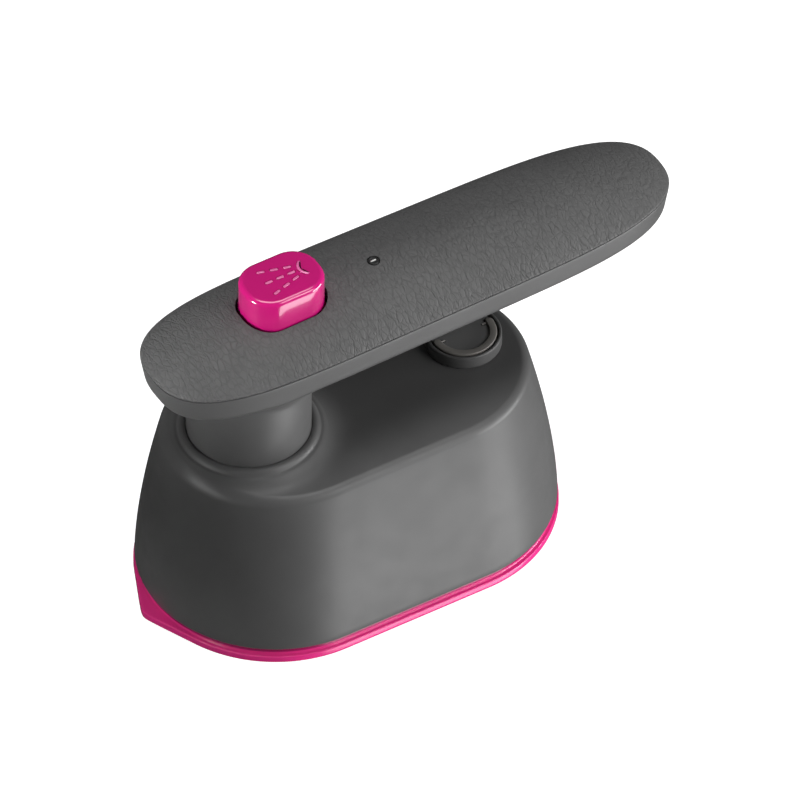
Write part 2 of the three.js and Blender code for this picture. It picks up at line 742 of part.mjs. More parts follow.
function bodyShell() {
  const { bottom, top, deck } = BODY;
  const rings = [
    atHeight(oval(BODY, 0.5), bottom),
    bodyRing(bottom + 0.5),
    ...bodyRings(bottom, top, [0.2, 0.4, 0.58, 0.74, 0.88]),
    ...shoulderRings(),
  ];
  const underDeck = top - deck;
  const hollow = [
    atHeight(oval(BODY, WALL), bottom - 1),
    ...bodyRings(bottom, underDeck, [0, 0.35, 0.65, 0.85], WALL),
    bodyRing(underDeck - 1, WALL),
    bodyRing(underDeck, WALL + 0.8),
  ];
  let shell = loft(rings).subtract(loft(hollow));
  for (const [x, y] of SHELL_SCREWS) {
    shell = shell.add(post(x, y, 3, FRAME_PLATE.top + GAP, underDeck + 1));
    shell = shell.subtract(post(x, y, 1.4, 10, 30));
  }
  shell = shell.add(swivelBoss());
  shell = shell.subtract(post(SWIVEL.x, 0, BOSS.inner, BOSS.floor, 60, 36));
  shell = shell.subtract(post(SWIVEL.x, 0, 14.3, 40, 60, ROUND));
  return shell.subtract(post(FILLER.x, 0, FILLER.throat + 1.5, 40, 60, ROUND));
}

function swivelBush() {
  const sleeve = SWIVEL.spigot + 0.3;
  return turned([
    [sleeve, 49], [14, 49], [14, BOSS.floor + GAP], [16.6, BOSS.floor + GAP],
    [16.6, SWIVEL.shoulder - GAP], [sleeve, SWIVEL.shoulder - GAP],
  ], { x: SWIVEL.x });
}

add('body_shell', bodyShell(), 'charcoal');
add('swivel_bush', swivelBush(), 'silicone');

// ---------------------------------------------------------------- wiring in the base

add('base_harness', tube([
  [SWIVEL.x, 0, 42.5], [-45.5, 0, 39], [-40, 1, 37.2], [-30, 3, 36.6], [-20, 5.5, 36],
  [-14, 6.5, 32], [THERMOSTAT.x, 6.8, 27], [THERMOSTAT.x, 5.6, 22.8],
], 1.6, { steps: 20, sides: 6 }), 'rubber');

// ---------------------------------------------------------------- handle, lower half with the neck

const HANDLE_SCREWS = [[14, 12], [14, -12], [64, 9], [64, -9]];
const GLAND = {
  z: 85, hole: 3.3, flange: 3.5, bore: 2.5, inside: 67, face: HANDLE.centre + HANDLE.halfLength,
};

/** The neck: round at the foot, flaring into the underside, mostly towards the rear. */
function neck() {
  const join = HANDLE.under + 0.7;
  const ring = (z) => Array.from({ length: 36 }, (_, i) => {
    const angle = (2 * Math.PI * i) / 36;
    const fillet = 3 + 4.5 * Math.max(0, Math.cos(angle)) ** 2;
    const climb = THREE.MathUtils.clamp((z - join + fillet) / fillet, 0, 0.98);
    const radius = SWIVEL.neck + fillet * (1 - Math.sqrt(1 - climb * climb));
    return new THREE.Vector3(
      SWIVEL.x + radius * Math.cos(angle), radius * Math.sin(angle), z,
    );
  });
  const heights = [SWIVEL.shoulder, 66, 73, 75, 76.5, 77.8, 78.8, 79.6, join + 0.6];
  const spigot = post(SWIVEL.x, 0, SWIVEL.spigot, SWIVEL.bottom, SWIVEL.shoulder + 1, ROUND);
  return loft(heights.map(ring)).add(spigot);
}

/** A hole along X through the end wall of the handle. */
function alongX(radius, from, to, z, segments = 20) {
  const geometry = new THREE.CylinderGeometry(radius, radius, to - from, segments);
  geometry.rotateZ(Math.PI / 2);
  geometry.translate((from + to) / 2, 0, z);
  return toSolid(geometry);
}

function handleLower() {
  const { under, wallTop } = HANDLE;
  let lower = loft([
    handleRing(under, 14), handleRing(under + 0.3, 6), handleRing(under + 0.75, 2.6),
    handleRing(under + 1.5, 1.25), handleRing(under + 2.6, 0.85), handleRing(wallTop, 0.15),
  ]);
  lower = lower.add(neck());
  lower = lower.subtract(loft([
    handleRing(under + 2.4, 8), handleRing(under + 2.8, 4.6), handleRing(under + 3.7, 3.1),
    handleRing(under + 5.5, 2.4),
    handleRing(wallTop + 1, 2.4),
  ]));
  for (const [x, y] of HANDLE_SCREWS) {
    lower = lower.add(post(x, y, 4.2, under + 0.8, 84.2));
    lower = lower.subtract(post(x, y, 3.1, 70, 82));
    lower = lower.subtract(post(x, y, 1.6, 70, 90));
  }
  lower = lower.subtract(post(SWIVEL.x, 0, SWIVEL.bore, 40, under + 4, ROUND));
  lower = lower.subtract(alongX(GLAND.flange + GAP, GLAND.inside - GAP, 74.4, GLAND.z));
  return lower.subtract(alongX(GLAND.hole, 70, 90, GLAND.z));
}

function retainingRing() {
  return turned([[13.2, 45.3], [17.2, 45.3], [17.2, 47.3], [13.2, 47.3]], { x: SWIVEL.x });
}

function waveWasher() {
  return turned([[14.2, 47.6], [17, 47.6], [17, 48.6], [14.2, 48.6]], { x: SWIVEL.x });
}

add('handle_lower', handleLower(), 'charcoal');
add('retaining_ring', retainingRing(), 'steel');
add('wave_washer', waveWasher(), 'steel');

// ---------------------------------------------------------------- handle, upper half and grip

const MARK = { x: -8.7, radius: 1.5 };
const CARRIER_GAP = 0.5; // under the pad
const CROWN_SHARES = [1, 0.95, 0.84, 0.66, 0.42, 0.16];

/** The opening round the button, through the pad and the moulding under it. */
const buttonWell = () => loft(
  [80, 110].map((z) => buttonRing(z, BUTTON.endGap, BUTTON.sideGap)),
);

function handleUpper() {
  const top = HANDLE.padThickness + CARRIER_GAP;
  const under = top + HANDLE.carrierThickness;
  const rise = (inset, drop, foot) => [
    handleRing(foot, inset), ...CROWN_SHARES.map((share) => crownRing(inset, share, drop)),
  ];
  let upper = loft(rise(2.8, top, 85.6)).subtract(loft(rise(4.6, under, 84)));
  for (const [x, y] of HANDLE_SCREWS) {
    const height = crownHeight(x - HANDLE.centre, y) - under;
    upper = upper.add(post(x, y, 3, 84.6, height + 0.8));
    upper = upper.subtract(post(x, y, 1.4, 80, height - 1));
  }
  upper = upper.subtract(buttonWell());
  upper = upper.subtract(alongX(GLAND.flange + 2 * GAP, 66, 80, GLAND.z));
  return upper.subtract(post(MARK.x, 0, MARK.radius + GAP, 80, 110));
}

function gripPad() {
  const inset = 0.1;
  const lowest = HANDLE.wallTop + GAP;
  const underside = CROWN_SHARES.map(
    (share) => crownRing(inset, share, HANDLE.padThickness, lowest),
  );
  const topside = CROWN_SHARES.map((share) => crownRing(inset, share, 0));
  let pad = loft([...underside.reverse(), ...topside]);
  pad = pad.subtract(buttonWell());
  return pad.subtract(post(MARK.x, 0, MARK.radius + GAP, 80, 110));
}

function indicatorLens() {
  const top = crownHeight(MARK.x - HANDLE.centre, 0) + 0.05;
  return turned([
    [0, 92.5], [MARK.radius + 0.9, 92.5], [MARK.radius + 0.9, 93.6], [MARK.radius, 93.6],
    [MARK.radius, top - 0.2], [MARK.radius - 0.3, top], [0, top],
  ], { x: MARK.x, segments: SMALL_ROUND });
}

add('handle_upper', handleUpper(), 'charcoal');
add('grip_pad', gripPad(), 'leather');
add('indicator_lens', indicatorLens(), 'lens');
HANDLE_SCREWS.forEach(([x, y], i) => {
  add(`handle_screw_${i + 1}`, screw(x, y, 82 - GAP, 7, 1, 2.7), 'steel');
});

// ---------------------------------------------------------------- electrics in the handle

const BOARD = { front: -45.3, rear: -5, halfWidth: 11.5, bottom: 82.7, top: 84.2 };
const SWITCH = { half: 3.4, bottom: 84.5, holeFloor: 84.8, top: 87.8 };

function controlBoard() {
  const board = block(
    [BOARD.front, -BOARD.halfWidth, BOARD.bottom], [BOARD.rear, BOARD.halfWidth, BOARD.top],
  );
  const relay = block([-20, -9, BOARD.top - 0.2], [-13, 3, BOARD.top + 4.5]);
  const capacitor = post(-16.5, 7.5, 2.6, BOARD.top - 0.2, BOARD.top + 4);
  return board.add(relay).add(capacitor);
}

function microSwitch() {
  const { half, bottom, holeFloor, top } = SWITCH;
  const body = block([BUTTON.x - half, -half, bottom], [BUTTON.x + half, half, top]);
  return body.subtract(post(BUTTON.x, 0, 2.1, holeFloor, top + 1));
}

function indicatorLed() {
  const bottom = BOARD.top + GAP;
  return turned([
    [0, bottom], [1.9, bottom], [1.9, bottom + 1], [1.5, bottom + 1], [1.5, bottom + 3],
    [0.9, bottom + 4], [0, bottom + 4.3],
  ], { x: MARK.x, segments: SMALL_ROUND });
}

const SPRING = { radius: 7.6, wire: 0.45, turns: 3.5, bottom: 84.5, top: 89.1 };

function buttonSpring() {
  const low = SPRING.bottom + SPRING.wire;
  const high = SPRING.top - SPRING.wire;
  class Helix extends THREE.Curve {
    getPoint(t, target = new THREE.Vector3()) {
      const angle = 2 * Math.PI * SPRING.turns * t;
      return target.set(
        BUTTON.x + SPRING.radius * Math.cos(angle),
        SPRING.radius * Math.sin(angle),
        low + (high - low) * t,
      );
    }
  }
  const section = new THREE.Shape();
  section.absarc(0, 0, SPRING.wire, 0, 2 * Math.PI, false);
  const geometry = new THREE.ExtrudeGeometry(
    section, { steps: 42, extrudePath: new Helix(), curveSegments: 3 },
  );
  return toSolid(geometry);
}

const TERMINALS = { front: 38, rear: 52, halfWidth: 7, bottom: 82.6, top: 89.5 };

function terminalBlock() {
  const { front, rear, halfWidth, bottom, top } = TERMINALS;
  let body = block([front, -halfWidth, bottom], [rear, halfWidth, top]);
  for (const y of [-3.6, 3.6]) {
    body = body.subtract(post((front + rear) / 2, y, 1.8, top - 3, top + 1));
  }
  return body;
}

function cordGland() {
  const { face, inside, flange, hole, bore } = GLAND;
  const neckRadius = hole - GAP;
  const profile = [
    [bore, inside], [flange, inside], [flange, 74.1], [neckRadius, 74.1],
    [neckRadius, face], [bore, face],
  ];
  const geometry = new THREE.LatheGeometry(
    [...profile, profile[0]].map(([r, h]) => new THREE.Vector2(r, h)), 24,
  );
  geometry.rotateZ(-Math.PI / 2);
  geometry.translate(0, 0, GLAND.z);
  return toSolid(geometry);
}

add('control_board', controlBoard(), 'board');
add('micro_switch', microSwitch(), 'blackPlastic');
add('indicator_led', indicatorLed(), 'lens');
add('button_spring', buttonSpring(), 'steel');
add('terminal_block', terminalBlock(), 'ceramic');
add('cord_gland', cordGland(), 'rubber');
add('handle_harness', tube([
  [TERMINALS.front - GAP, 0, 86], [26, 0, 86.4], [10, 0, 86.4], [0, 0, 85.6],
  [BOARD.rear + 1, 0, 86],
], 1.3, { steps: 8, sides: 6 }), 'rubber');
add('neck_harness', tube([
  [SWIVEL.x, 0, 44.8], [SWIVEL.x, 0.6, 58], [SWIVEL.x - 0.6, -0.4, 72], [-47.6, 0, 84.6],
], 1.6, { steps: 18, sides: 6 }), 'rubber');

// ---------------------------------------------------------------- steam button

function steamButton() {
  const { top, bevel, x, flangeBottom, flangeTop } = BUTTON;
  const rings = [buttonRing(flangeTop - 0.1, 0), buttonRing(top - bevel, 0)];
  for (const degrees of [30, 60, 90]) {
    const angle = THREE.MathUtils.degToRad(degrees);
    const inset = bevel * (1 - Math.cos(angle));
    rings.push(buttonRing(top - bevel + bevel * Math.sin(angle), -inset));
  }
  const flange = loft([buttonRing(flangeBottom, 1.9), buttonRing(flangeTop, 1.9)]);
  const hollow = loft([buttonRing(80, -2), buttonRing(top - 2.5, -2)]);
  return loft(rings).add(flange).subtract(hollow).add(post(x, 0, 2.4, BUTTON.post, top - 1));
}

function switchPlunger() {
  return turned([
    [0, 87], [1.7, 87], [1.7, 89.5], [1.3, 89.9], [0, 89.9],
  ], { x: BUTTON.x, segments: SMALL_ROUND });
}

add('steam_button', steamButton(), 'pinkGloss');
add('switch_plunger', switchPlunger(), 'silicone');

export default iron;
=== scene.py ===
import math

import bmesh
import bpy
import numpy as np
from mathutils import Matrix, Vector


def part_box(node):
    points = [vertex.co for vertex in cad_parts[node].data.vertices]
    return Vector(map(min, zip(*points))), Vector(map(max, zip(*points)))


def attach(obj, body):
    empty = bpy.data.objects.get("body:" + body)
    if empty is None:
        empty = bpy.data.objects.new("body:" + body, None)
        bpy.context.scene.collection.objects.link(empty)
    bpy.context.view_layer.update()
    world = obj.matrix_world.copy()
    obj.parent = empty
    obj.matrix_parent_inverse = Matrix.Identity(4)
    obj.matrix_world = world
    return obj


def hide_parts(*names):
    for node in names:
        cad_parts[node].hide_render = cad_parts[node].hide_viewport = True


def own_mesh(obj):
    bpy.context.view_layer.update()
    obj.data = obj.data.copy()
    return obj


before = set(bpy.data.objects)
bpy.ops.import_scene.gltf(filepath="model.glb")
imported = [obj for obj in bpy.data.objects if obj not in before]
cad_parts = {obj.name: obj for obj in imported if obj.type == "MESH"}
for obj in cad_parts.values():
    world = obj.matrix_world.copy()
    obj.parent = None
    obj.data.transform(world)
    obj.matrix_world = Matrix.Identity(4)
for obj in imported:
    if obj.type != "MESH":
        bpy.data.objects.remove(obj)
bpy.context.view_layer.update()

# Handheld mini steam iron. All shapes below are in millimetres and become metres in make().

MM = 0.001


def cad_box(node):
    """Lowest and highest corner of a CAD node, in millimetres."""
    low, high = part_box(node)
    return np.array(low) / MM, np.array(high) / MM


# ------------------------------------------------------------------ dimensions from the frame

SHELL_LOW = cad_box("body_shell")[0]
PLATE_LOW = cad_box("soleplate")[0]
LOWER_LOW, LOWER_HIGH = cad_box("handle_lower")
BUTTON_HIGH = cad_box("steam_button")[1]
COLLAR_HIGH = cad_box("filler_collar")[1]
LENS_LOW, LENS_HIGH = cad_box("indicator_lens")

GAP = 0.3  # clearance between neighbouring parts
WALL = 2.2  # the body shell's wall

BODY = dict(
    bottom=SHELL_LOW[2], top=52.9, front=-76.5, rear=42.1, half_width=37.5,
    front_centre=-39.3, rear_centre=4.7, front_taper=6.1, rear_taper=7.5, side_taper=7.4,
    lean=1.62, shoulder=2.2, deck=3.9,
)
PLATE = dict(
    front=-76.8, rear=42.4, half_width=37.8, front_centre=-39.3, rear_centre=4.7,
)
PLATE_TIP, PLATE_SHARP_TIP = PLATE_LOW[0], PLATE_LOW[0] - 0.6
SWIVEL_X, NECK, SPIGOT, BORE = -47.3, 16.75, 12.9, 9.5
SPIGOT_BOTTOM, NECK_BOTTOM = LOWER_LOW[2], 52.6
BOSS_INNER = 16.83  # inside of the ring on the deck, round the neck
HANDLE_CENTRE, HALF_LENGTH, HALF_WIDTH = 1.25, 78.75, 20.2
END_POWER, SIDE_POWER, HANDLE_TAPER, END_DRAFT = 4.95, 2.6, 0.068, 1.5
HANDLE_END = HANDLE_CENTRE + HALF_LENGTH
WALL_TOP, EDGE, CROWN_RADIUS, PAD = LOWER_HIGH[2], 89.6, 28.0, 1.2
HANDLE_FLOOR = 81.9  # bottom of the hollow in the lower half
BUTTON_X, BUTTON_LENGTH, BUTTON_WIDTH, BUTTON_CORNER = -37.2, 23.2, 17.0, 7.5
ICON_RISE = 0.12
BUTTON_TOP, END_GAP, SIDE_GAP = BUTTON_HIGH[2] - ICON_RISE, 0.9, 0.4
BUTTON_FLANGE, BUTTON_BASE = 89.4, 90.9
FILLER_X, COLLAR, CAP, THROAT = 19.1, COLLAR_HIGH[0] - 19.1, 9.0, 6.9
RIM = COLLAR_HIGH[2]
MARK_X, MARK = (LENS_LOW[0] + LENS_HIGH[0]) / 2, 1.5
BAIL_INNER, BAIL_LOW, PIVOT_Z, PIN = 7.0, 56.1, 56.5, 0.3
SCREWS = [(14, 12), (14, -12), (64, 9), (64, -9)]
GLAND_Z = 85.0


# ------------------------------------------------------------------ curves

def blend_curve(points, steps):
    """A cubic B-spline through the end points of a control polygon, so it stays inside it."""
    p = np.array(points, float)
    p = np.vstack([2 * p[0] - p[1], p, 2 * p[-1] - p[-2]])
    t = np.linspace(0, 1, steps, endpoint=False)[:, None]
    out = []
    for a, b, c, d in zip(p[:-3], p[1:-2], p[2:-1], p[3:]):
        out.append((
            (1 - t) ** 3 * a + (3 * t ** 3 - 6 * t ** 2 + 4) * b
            + (-3 * t ** 3 + 3 * t ** 2 + 3 * t + 1) * c + t ** 3 * d
        ) / 6)
    return np.vstack([*out, p[-2][None]])


def rounded_profile(corners, closed=True, steps=5):
    """Corners (r, z, fillet radius) as a polyline with each corner rounded."""
    p = np.array([c[:2] for c in corners], float)
    out = []
    n = len(corners)
    for i in range(n):
        radius = corners[i][2] if len(corners[i]) > 2 else 0
        if radius <= 0 or (not closed and i in (0, n - 1)):
            out.append(p[i])
            continue
        to_last, to_next = p[i - 1] - p[i], p[(i + 1) % n] - p[i]
        to_last, to_next = to_last / np.linalg.norm(to_last), to_next / np.linalg.norm(to_next)
        half = math.acos(max(-1, min(1, float(to_last @ to_next)))) / 2
        middle = to_last + to_next
        centre = p[i] + middle / np.linalg.norm(middle) * radius / math.sin(half)
        start = p[i] + to_last * radius / math.tan(half) - centre
        sweep = math.pi - 2 * half
        if start[0] * to_last[1] - start[1] * to_last[0] > 0:
            sweep = -sweep
        for k in range(steps + 1):
            c, s = math.cos(sweep * k / steps), math.sin(sweep * k / steps)
            out.append(centre + np.array([c * start[0] - s * start[1], s * start[0] + c * start[1]]))
    return np.array(out)


def circle(x, y, radius, count):
    """Points round a circle, anticlockwise from its +X side."""
    angle = np.linspace(0, 2 * np.pi, count, endpoint=False)
    return np.c_[x + radius * np.cos(angle), y + radius * np.sin(angle)]


def oval(shape, inset=0.0, arc=56, side=28):
    """Two half ellipses joined by straight sides, with the same spacing at every inset."""
    half_width = shape["half_width"] - inset
    parts = []
    for centre, reach, start, far_centre in (
        (shape["rear_centre"], shape["rear"] - inset - shape["rear_centre"], -0.5,
         shape["front_centre"]),
        (shape["front_centre"], shape["front_centre"] - shape["front"] - inset, 0.5,
         shape["rear_centre"]),
    ):
        angle = np.pi * (start + np.arange(arc) / arc)
        parts.append(np.c_[centre + reach * np.cos(angle), half_width * np.sin(angle)])
        end = half_width * math.sin(np.pi * (start + 1))
        along = np.arange(side) / side
        parts.append(np.c_[centre + (far_centre - centre) * along, np.full(side, end)])
    return np.vstack(parts)


def body_shape(z):
    """The body's oval at a height: it leans in more and more towards the deck."""
    rise = (z - BODY["bottom"]) / (BODY["top"] - BODY["bottom"])
    lean = max(rise, 0) ** BODY["lean"]
    return dict(
        front=BODY["front"] + BODY["front_taper"] * lean,
        rear=BODY["rear"] - BODY["rear_taper"] * lean,
        half_width=BODY["half_width"] - BODY["side_taper"] * lean,
        front_centre=BODY["front_centre"] + 2.7 * rise,
        rear_centre=BODY["rear_centre"] - 1.3 * rise,
    )


def plate_outline(inset=0.0):
    """The soleplate's oval with its front drawn out along two tangents to a blunt point."""
    reach = PLATE["front_centre"] - PLATE["front"]
    cosine = reach / (PLATE["front_centre"] - PLATE_SHARP_TIP)
    touch_y = PLATE["half_width"] * math.sqrt(1 - cosine * cosine)
    touch_x = PLATE["front_centre"] - reach * cosine
    lean = (touch_x - PLATE_SHARP_TIP) / touch_y
    blunt = (PLATE_TIP - PLATE_SHARP_TIP) / lean
    points = oval(PLATE, inset, arc=120)
    drawn = PLATE_SHARP_TIP + inset + lean * np.hypot(points[:, 1], blunt)
    nose = (points[:, 0] < PLATE["front_centre"]) & (np.abs(points[:, 1]) < touch_y)
    points[:, 0] = np.where(nose, np.minimum(drawn, points[:, 0]), points[:, 0])
    return points


def handle_outline(count):
    """The handle's outline about its own centre, as evenly spaced points."""
    angle = np.linspace(0, 2 * np.pi, 4096, endpoint=False)
    c, s = np.cos(angle), np.sin(angle)
    along = np.sign(c) * np.abs(c) ** (2 / END_POWER)
    across = np.sign(s) * np.abs(s) ** (2 / SIDE_POWER) * (1 - HANDLE_TAPER * along)
    points = np.c_[HALF_LENGTH * along, HALF_WIDTH * across]
    step = np.linalg.norm(np.roll(points, -1, 0) - points, axis=1)
    along = np.r_[0, np.cumsum(step)]
    wanted = np.linspace(0, along[-1], count, endpoint=False)
    closed = np.vstack([points, points[:1]])
    return np.c_[np.interp(wanted, along, closed[:, 0]), np.interp(wanted, along, closed[:, 1])]


def crown(x, y):
    """Height of the crowned top at a place measured from the handle's centre."""
    along = np.clip(x / HALF_LENGTH, -1, 1)
    half = HALF_WIDTH * (1 - HANDLE_TAPER * along)
    half = half * (1 - np.abs(along) ** END_POWER) ** (1 / SIDE_POWER)
    far = np.maximum(half, np.abs(y))
    return EDGE + np.sqrt(CROWN_RADIUS ** 2 - y ** 2) - np.sqrt(CROWN_RADIUS ** 2 - far ** 2)


def rounded_rectangle(length, width, corner, steps=14, side=8):
    """An outline with arcs at its corners and extra points along its sides."""
    points = []
    for side_x, side_y, turn in ((1, -1, -0.5), (1, 1, 0), (-1, 1, 0.5), (-1, -1, 1)):
        centre = np.array([side_x * (length / 2 - corner), side_y * (width / 2 - corner)])
        for i in range(steps + 1):
            angle = (turn + 0.5 * i / steps) * math.pi
            points.append(centre + corner * np.array([math.cos(angle), math.sin(angle)]))
    out = []
    for i, point in enumerate(points):
        out.append(point)
        if i % (steps + 1) == steps:
            following = points[(i + 1) % len(points)]
            out += [point + (following - point) * k / side for k in range(1, side)]
    return np.array(out)


def button_ring(grow, grow_side=None):
    """The button's outline, grown at its ends and, if given, differently at its sides."""
    side = grow if grow_side is None else grow_side
    return rounded_rectangle(
        BUTTON_LENGTH + 2 * grow, BUTTON_WIDTH + 2 * side, BUTTON_CORNER + side,
    ) + [BUTTON_X, 0]


def at(outline, z):
    """An outline as 3D points at one height, or at one height for each point."""
    return np.c_[outline, np.broadcast_to(z, len(outline))]


# ------------------------------------------------------------------ meshes

def make(name, points, faces):
    """A mesh object from points in millimetres, with its faces turned outwards."""
    mesh = bpy.data.meshes.new(name)
    mesh.from_pydata((np.asarray(points, float) * MM).tolist(), [], faces)
    bm = bmesh.new()
    bm.from_mesh(mesh)
    bmesh.ops.remove_doubles(bm, verts=bm.verts, dist=1e-7)
    if bm.calc_volume(signed=True) < 0:
        bmesh.ops.reverse_faces(bm, faces=bm.faces)
    bm.to_mesh(mesh)
    bm.free()
    obj = bpy.data.objects.new(name, mesh)
    bpy.context.scene.collection.objects.link(obj)
    return obj


def band_faces(levels, count, wrap):
    """Quads between rings of points; wrap joins the last ring back to the first."""
    faces = []
    for level in range(levels if wrap else levels - 1):
        low, high = level * count, (level + 1) % levels * count
        for i in range(count):
            j = (i + 1) % count
            faces.append((low + i, low + j, high + j, high + i))
    return faces


def tunnel(name, rings):
    """Rings that close on themselves, such as a wall with an inside and an outside."""
    rings = np.array(rings)
    return make(name, rings.reshape(-1, 3), band_faces(len(rings), rings.shape[1], True))


def loft(name, rings, caps=(0.97, 0.8, 0.4)):
    """Rings closed at both ends, each end by smaller rings and a fan."""
    def shrink(ring, share):
        middle = ring.mean(0)
        return middle + (ring - middle) * share

    rings = [np.asarray(r, float) for r in rings]
    rings = (
        [shrink(rings[0], s) for s in reversed(caps)] + rings + [shrink(rings[-1], s) for s in caps]
    )
    count = len(rings[0])
    faces = band_faces(len(rings), count, False)
    points = np.vstack([*rings, rings[0].mean(0)[None], rings[-1].mean(0)[None]])
    bottom, top, last = len(points) - 2, len(points) - 1, (len(rings) - 1) * count
    for i in range(count):
        j = (i + 1) % count
        faces.append((bottom, j, i))
        faces.append((top, last + i, last + j))
    return make(name, points, faces)


def turned(name, profile, x=0.0, y=0.0, segments=96, along_x=None):
    """A closed profile of (r, height) turned about Z through (x, y), or about X at a height."""
    profile = np.asarray(profile, float)
    angle = np.linspace(0, 2 * np.pi, segments, endpoint=False)
    rings = np.array([
        np.c_[r * np.cos(angle), r * np.sin(angle), np.full(segments, h)] for r, h in profile
    ])
    if along_x is None:
        rings = rings + [x, y, 0]
    else:
        rings = np.stack([rings[..., 2], rings[..., 0], rings[..., 1] + along_x], axis=-1)
    return make(name, rings.reshape(-1, 3), band_faces(len(profile), segments, True))


def prism(name, outline, low, high):
    """An outline made solid between two heights, used only to cut or join."""
    return loft(name, [at(outline, low), at(outline, high)], caps=())


def bar(name, x, y, radius, low, high, segments=48):
    """An upright cylinder."""
    return prism(name, circle(x, y, radius, segments), low, high)


def block(name, near, far):
    """A box between two opposite corners."""
    (x, y, low), (far_x, far_y, high) = near, far
    return prism(name, np.array([(x, y), (far_x, y), (far_x, far_y), (x, far_y)]), low, high)


def joined(name, objects):
    """Several separate solids as one object."""
    bm = bmesh.new()
    for obj in objects:
        bm.from_mesh(obj.data)
        bpy.data.objects.remove(obj)
    mesh = bpy.data.meshes.new(name)
    bm.to_mesh(mesh)
    bm.free()
    obj = bpy.data.objects.new(name, mesh)
    bpy.context.scene.collection.objects.link(obj)
    return obj


def combine(obj, tool, operation="DIFFERENCE"):
    """Cuts obj with the tool, or joins the tool to it, and removes the tool."""
    change = obj.modifiers.new("change", "BOOLEAN")
    change.operation = operation
    change.solver = "EXACT"
    change.object = tool
    mesh = bpy.data.meshes.new_from_object(obj.evaluated_get(
        bpy.context.evaluated_depsgraph_get()
    ))
    obj.modifiers.clear()
    obj.data = mesh
    bpy.data.objects.remove(tool)


def finished(obj, body, slot, *nodes, look=None, sharp=38):
    """Gives a piece its shading, the look named for it or else for its slot, its body, and hides the
    CAD nodes it stands for.
    """
    obj.data.materials.clear()
    obj.data.materials.append(MATERIALS[look or slot])
    for polygon in obj.data.polygons:
        polygon.material_index = 0
    obj.data.shade_smooth()
    obj.data.set_sharp_from_angle(angle=math.radians(sharp))
    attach(obj, body)
    if nodes:
        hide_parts(*nodes)


# ------------------------------------------------------------------ materials

class Nodes:
    """A material's node tree, with short calls to add and join nodes."""

    def __init__(self, name, **shader):
        self.material = bpy.data.materials.new(name)
        self.material.use_nodes = True
        self.tree = self.material.node_tree
        self.shader = self.tree.nodes["Principled BSDF"]
        for key, value in shader.items():
            socket = self.shader.inputs[key.replace("_", " ")]
            socket.default_value = (*value, 1) if isinstance(value, tuple) else value
        self.place = self.tree.nodes.new("ShaderNodeTexCoord").outputs["Object"]

    def add(self, kind, settings=(), **inputs):
        node = self.tree.nodes.new("ShaderNode" + kind)
        for key, value in dict(settings).items():
            setattr(node, key, value)
        for key, value in inputs.items():
            self.put(value, node.inputs[int(key[1:]) if key[1:].isdigit() else key.replace("_", " ")])
        return node

    def put(self, value, socket):
        if isinstance(value, bpy.types.NodeSocket):
            self.tree.links.new(value, socket)
        elif isinstance(value, tuple) and socket.type == "RGBA":
            socket.default_value = (*value, 1)
        else:
            socket.default_value = value

    def stretched(self, scale, turn=0.0, place=None):
        """Places in units of `scale` metres along X, Y and Z."""
        node = self.add("Mapping", Vector=place or self.place)
        node.inputs["Scale"].default_value = [1 / s for s in scale]
        node.inputs["Rotation"].default_value = (0, 0, turn)
        return node.outputs[0]

    def noise(self, size, detail=2.0, roughness=0.5, vector=None):
        if vector is None:
            vector = self.stretched((size, size, size))
        return self.add(
            "TexNoise", Vector=vector, Scale=1.0, Detail=detail, Roughness=roughness,
        ).outputs["Fac"]

    def math(self, operation, a, b=0.0, clamp=False):
        return self.add(
            "Math", {"operation": operation, "use_clamp": clamp}, _0=a, _1=b
        ).outputs[0]

    def ramp(self, value, low, high, to_low=0.0, to_high=1.0):
        return self.add("MapRange", Value=value, From_Min=low, From_Max=high, To_Min=to_low,
                        To_Max=to_high).outputs[0]

    def tones(self, value, colour, low, high):
        """A colour that drifts between two shares of itself."""
        node = self.add("ValToRGB", Fac=value)
        for element, position, share in zip(node.color_ramp.elements, (0.3, 0.7), (low, high)):
            element.position = position
            element.color = (*(c * share for c in colour), 1)
        return node.outputs["Color"]

    def bump(self, height, depth):
        node = self.add("Bump", Height=height, Distance=depth)
        self.tree.links.new(node.outputs[0], self.shader.inputs["Normal"])


def grey(value):
    """The same share of red, green and blue."""
    return value, value, value


def moulded(name, colour, roughness, grain=0.00016, depth=0.000006, spread=0.06, **shader):
    """Moulded plastic: a fine spark-eroded grain, with slight drifts of tone and gloss."""
    n = Nodes(name, **shader)
    n.put(n.tones(n.noise(0.018, detail=3), colour, 1 - spread, 1 + spread),
          n.shader.inputs["Base Color"])
    grit = n.noise(grain, detail=3, roughness=0.65)
    n.put(n.ramp(n.noise(0.006, detail=4), 0.3, 0.7, roughness - 0.04, roughness + 0.05),
          n.shader.inputs["Roughness"])
    n.bump(grit, depth)
    return n.material


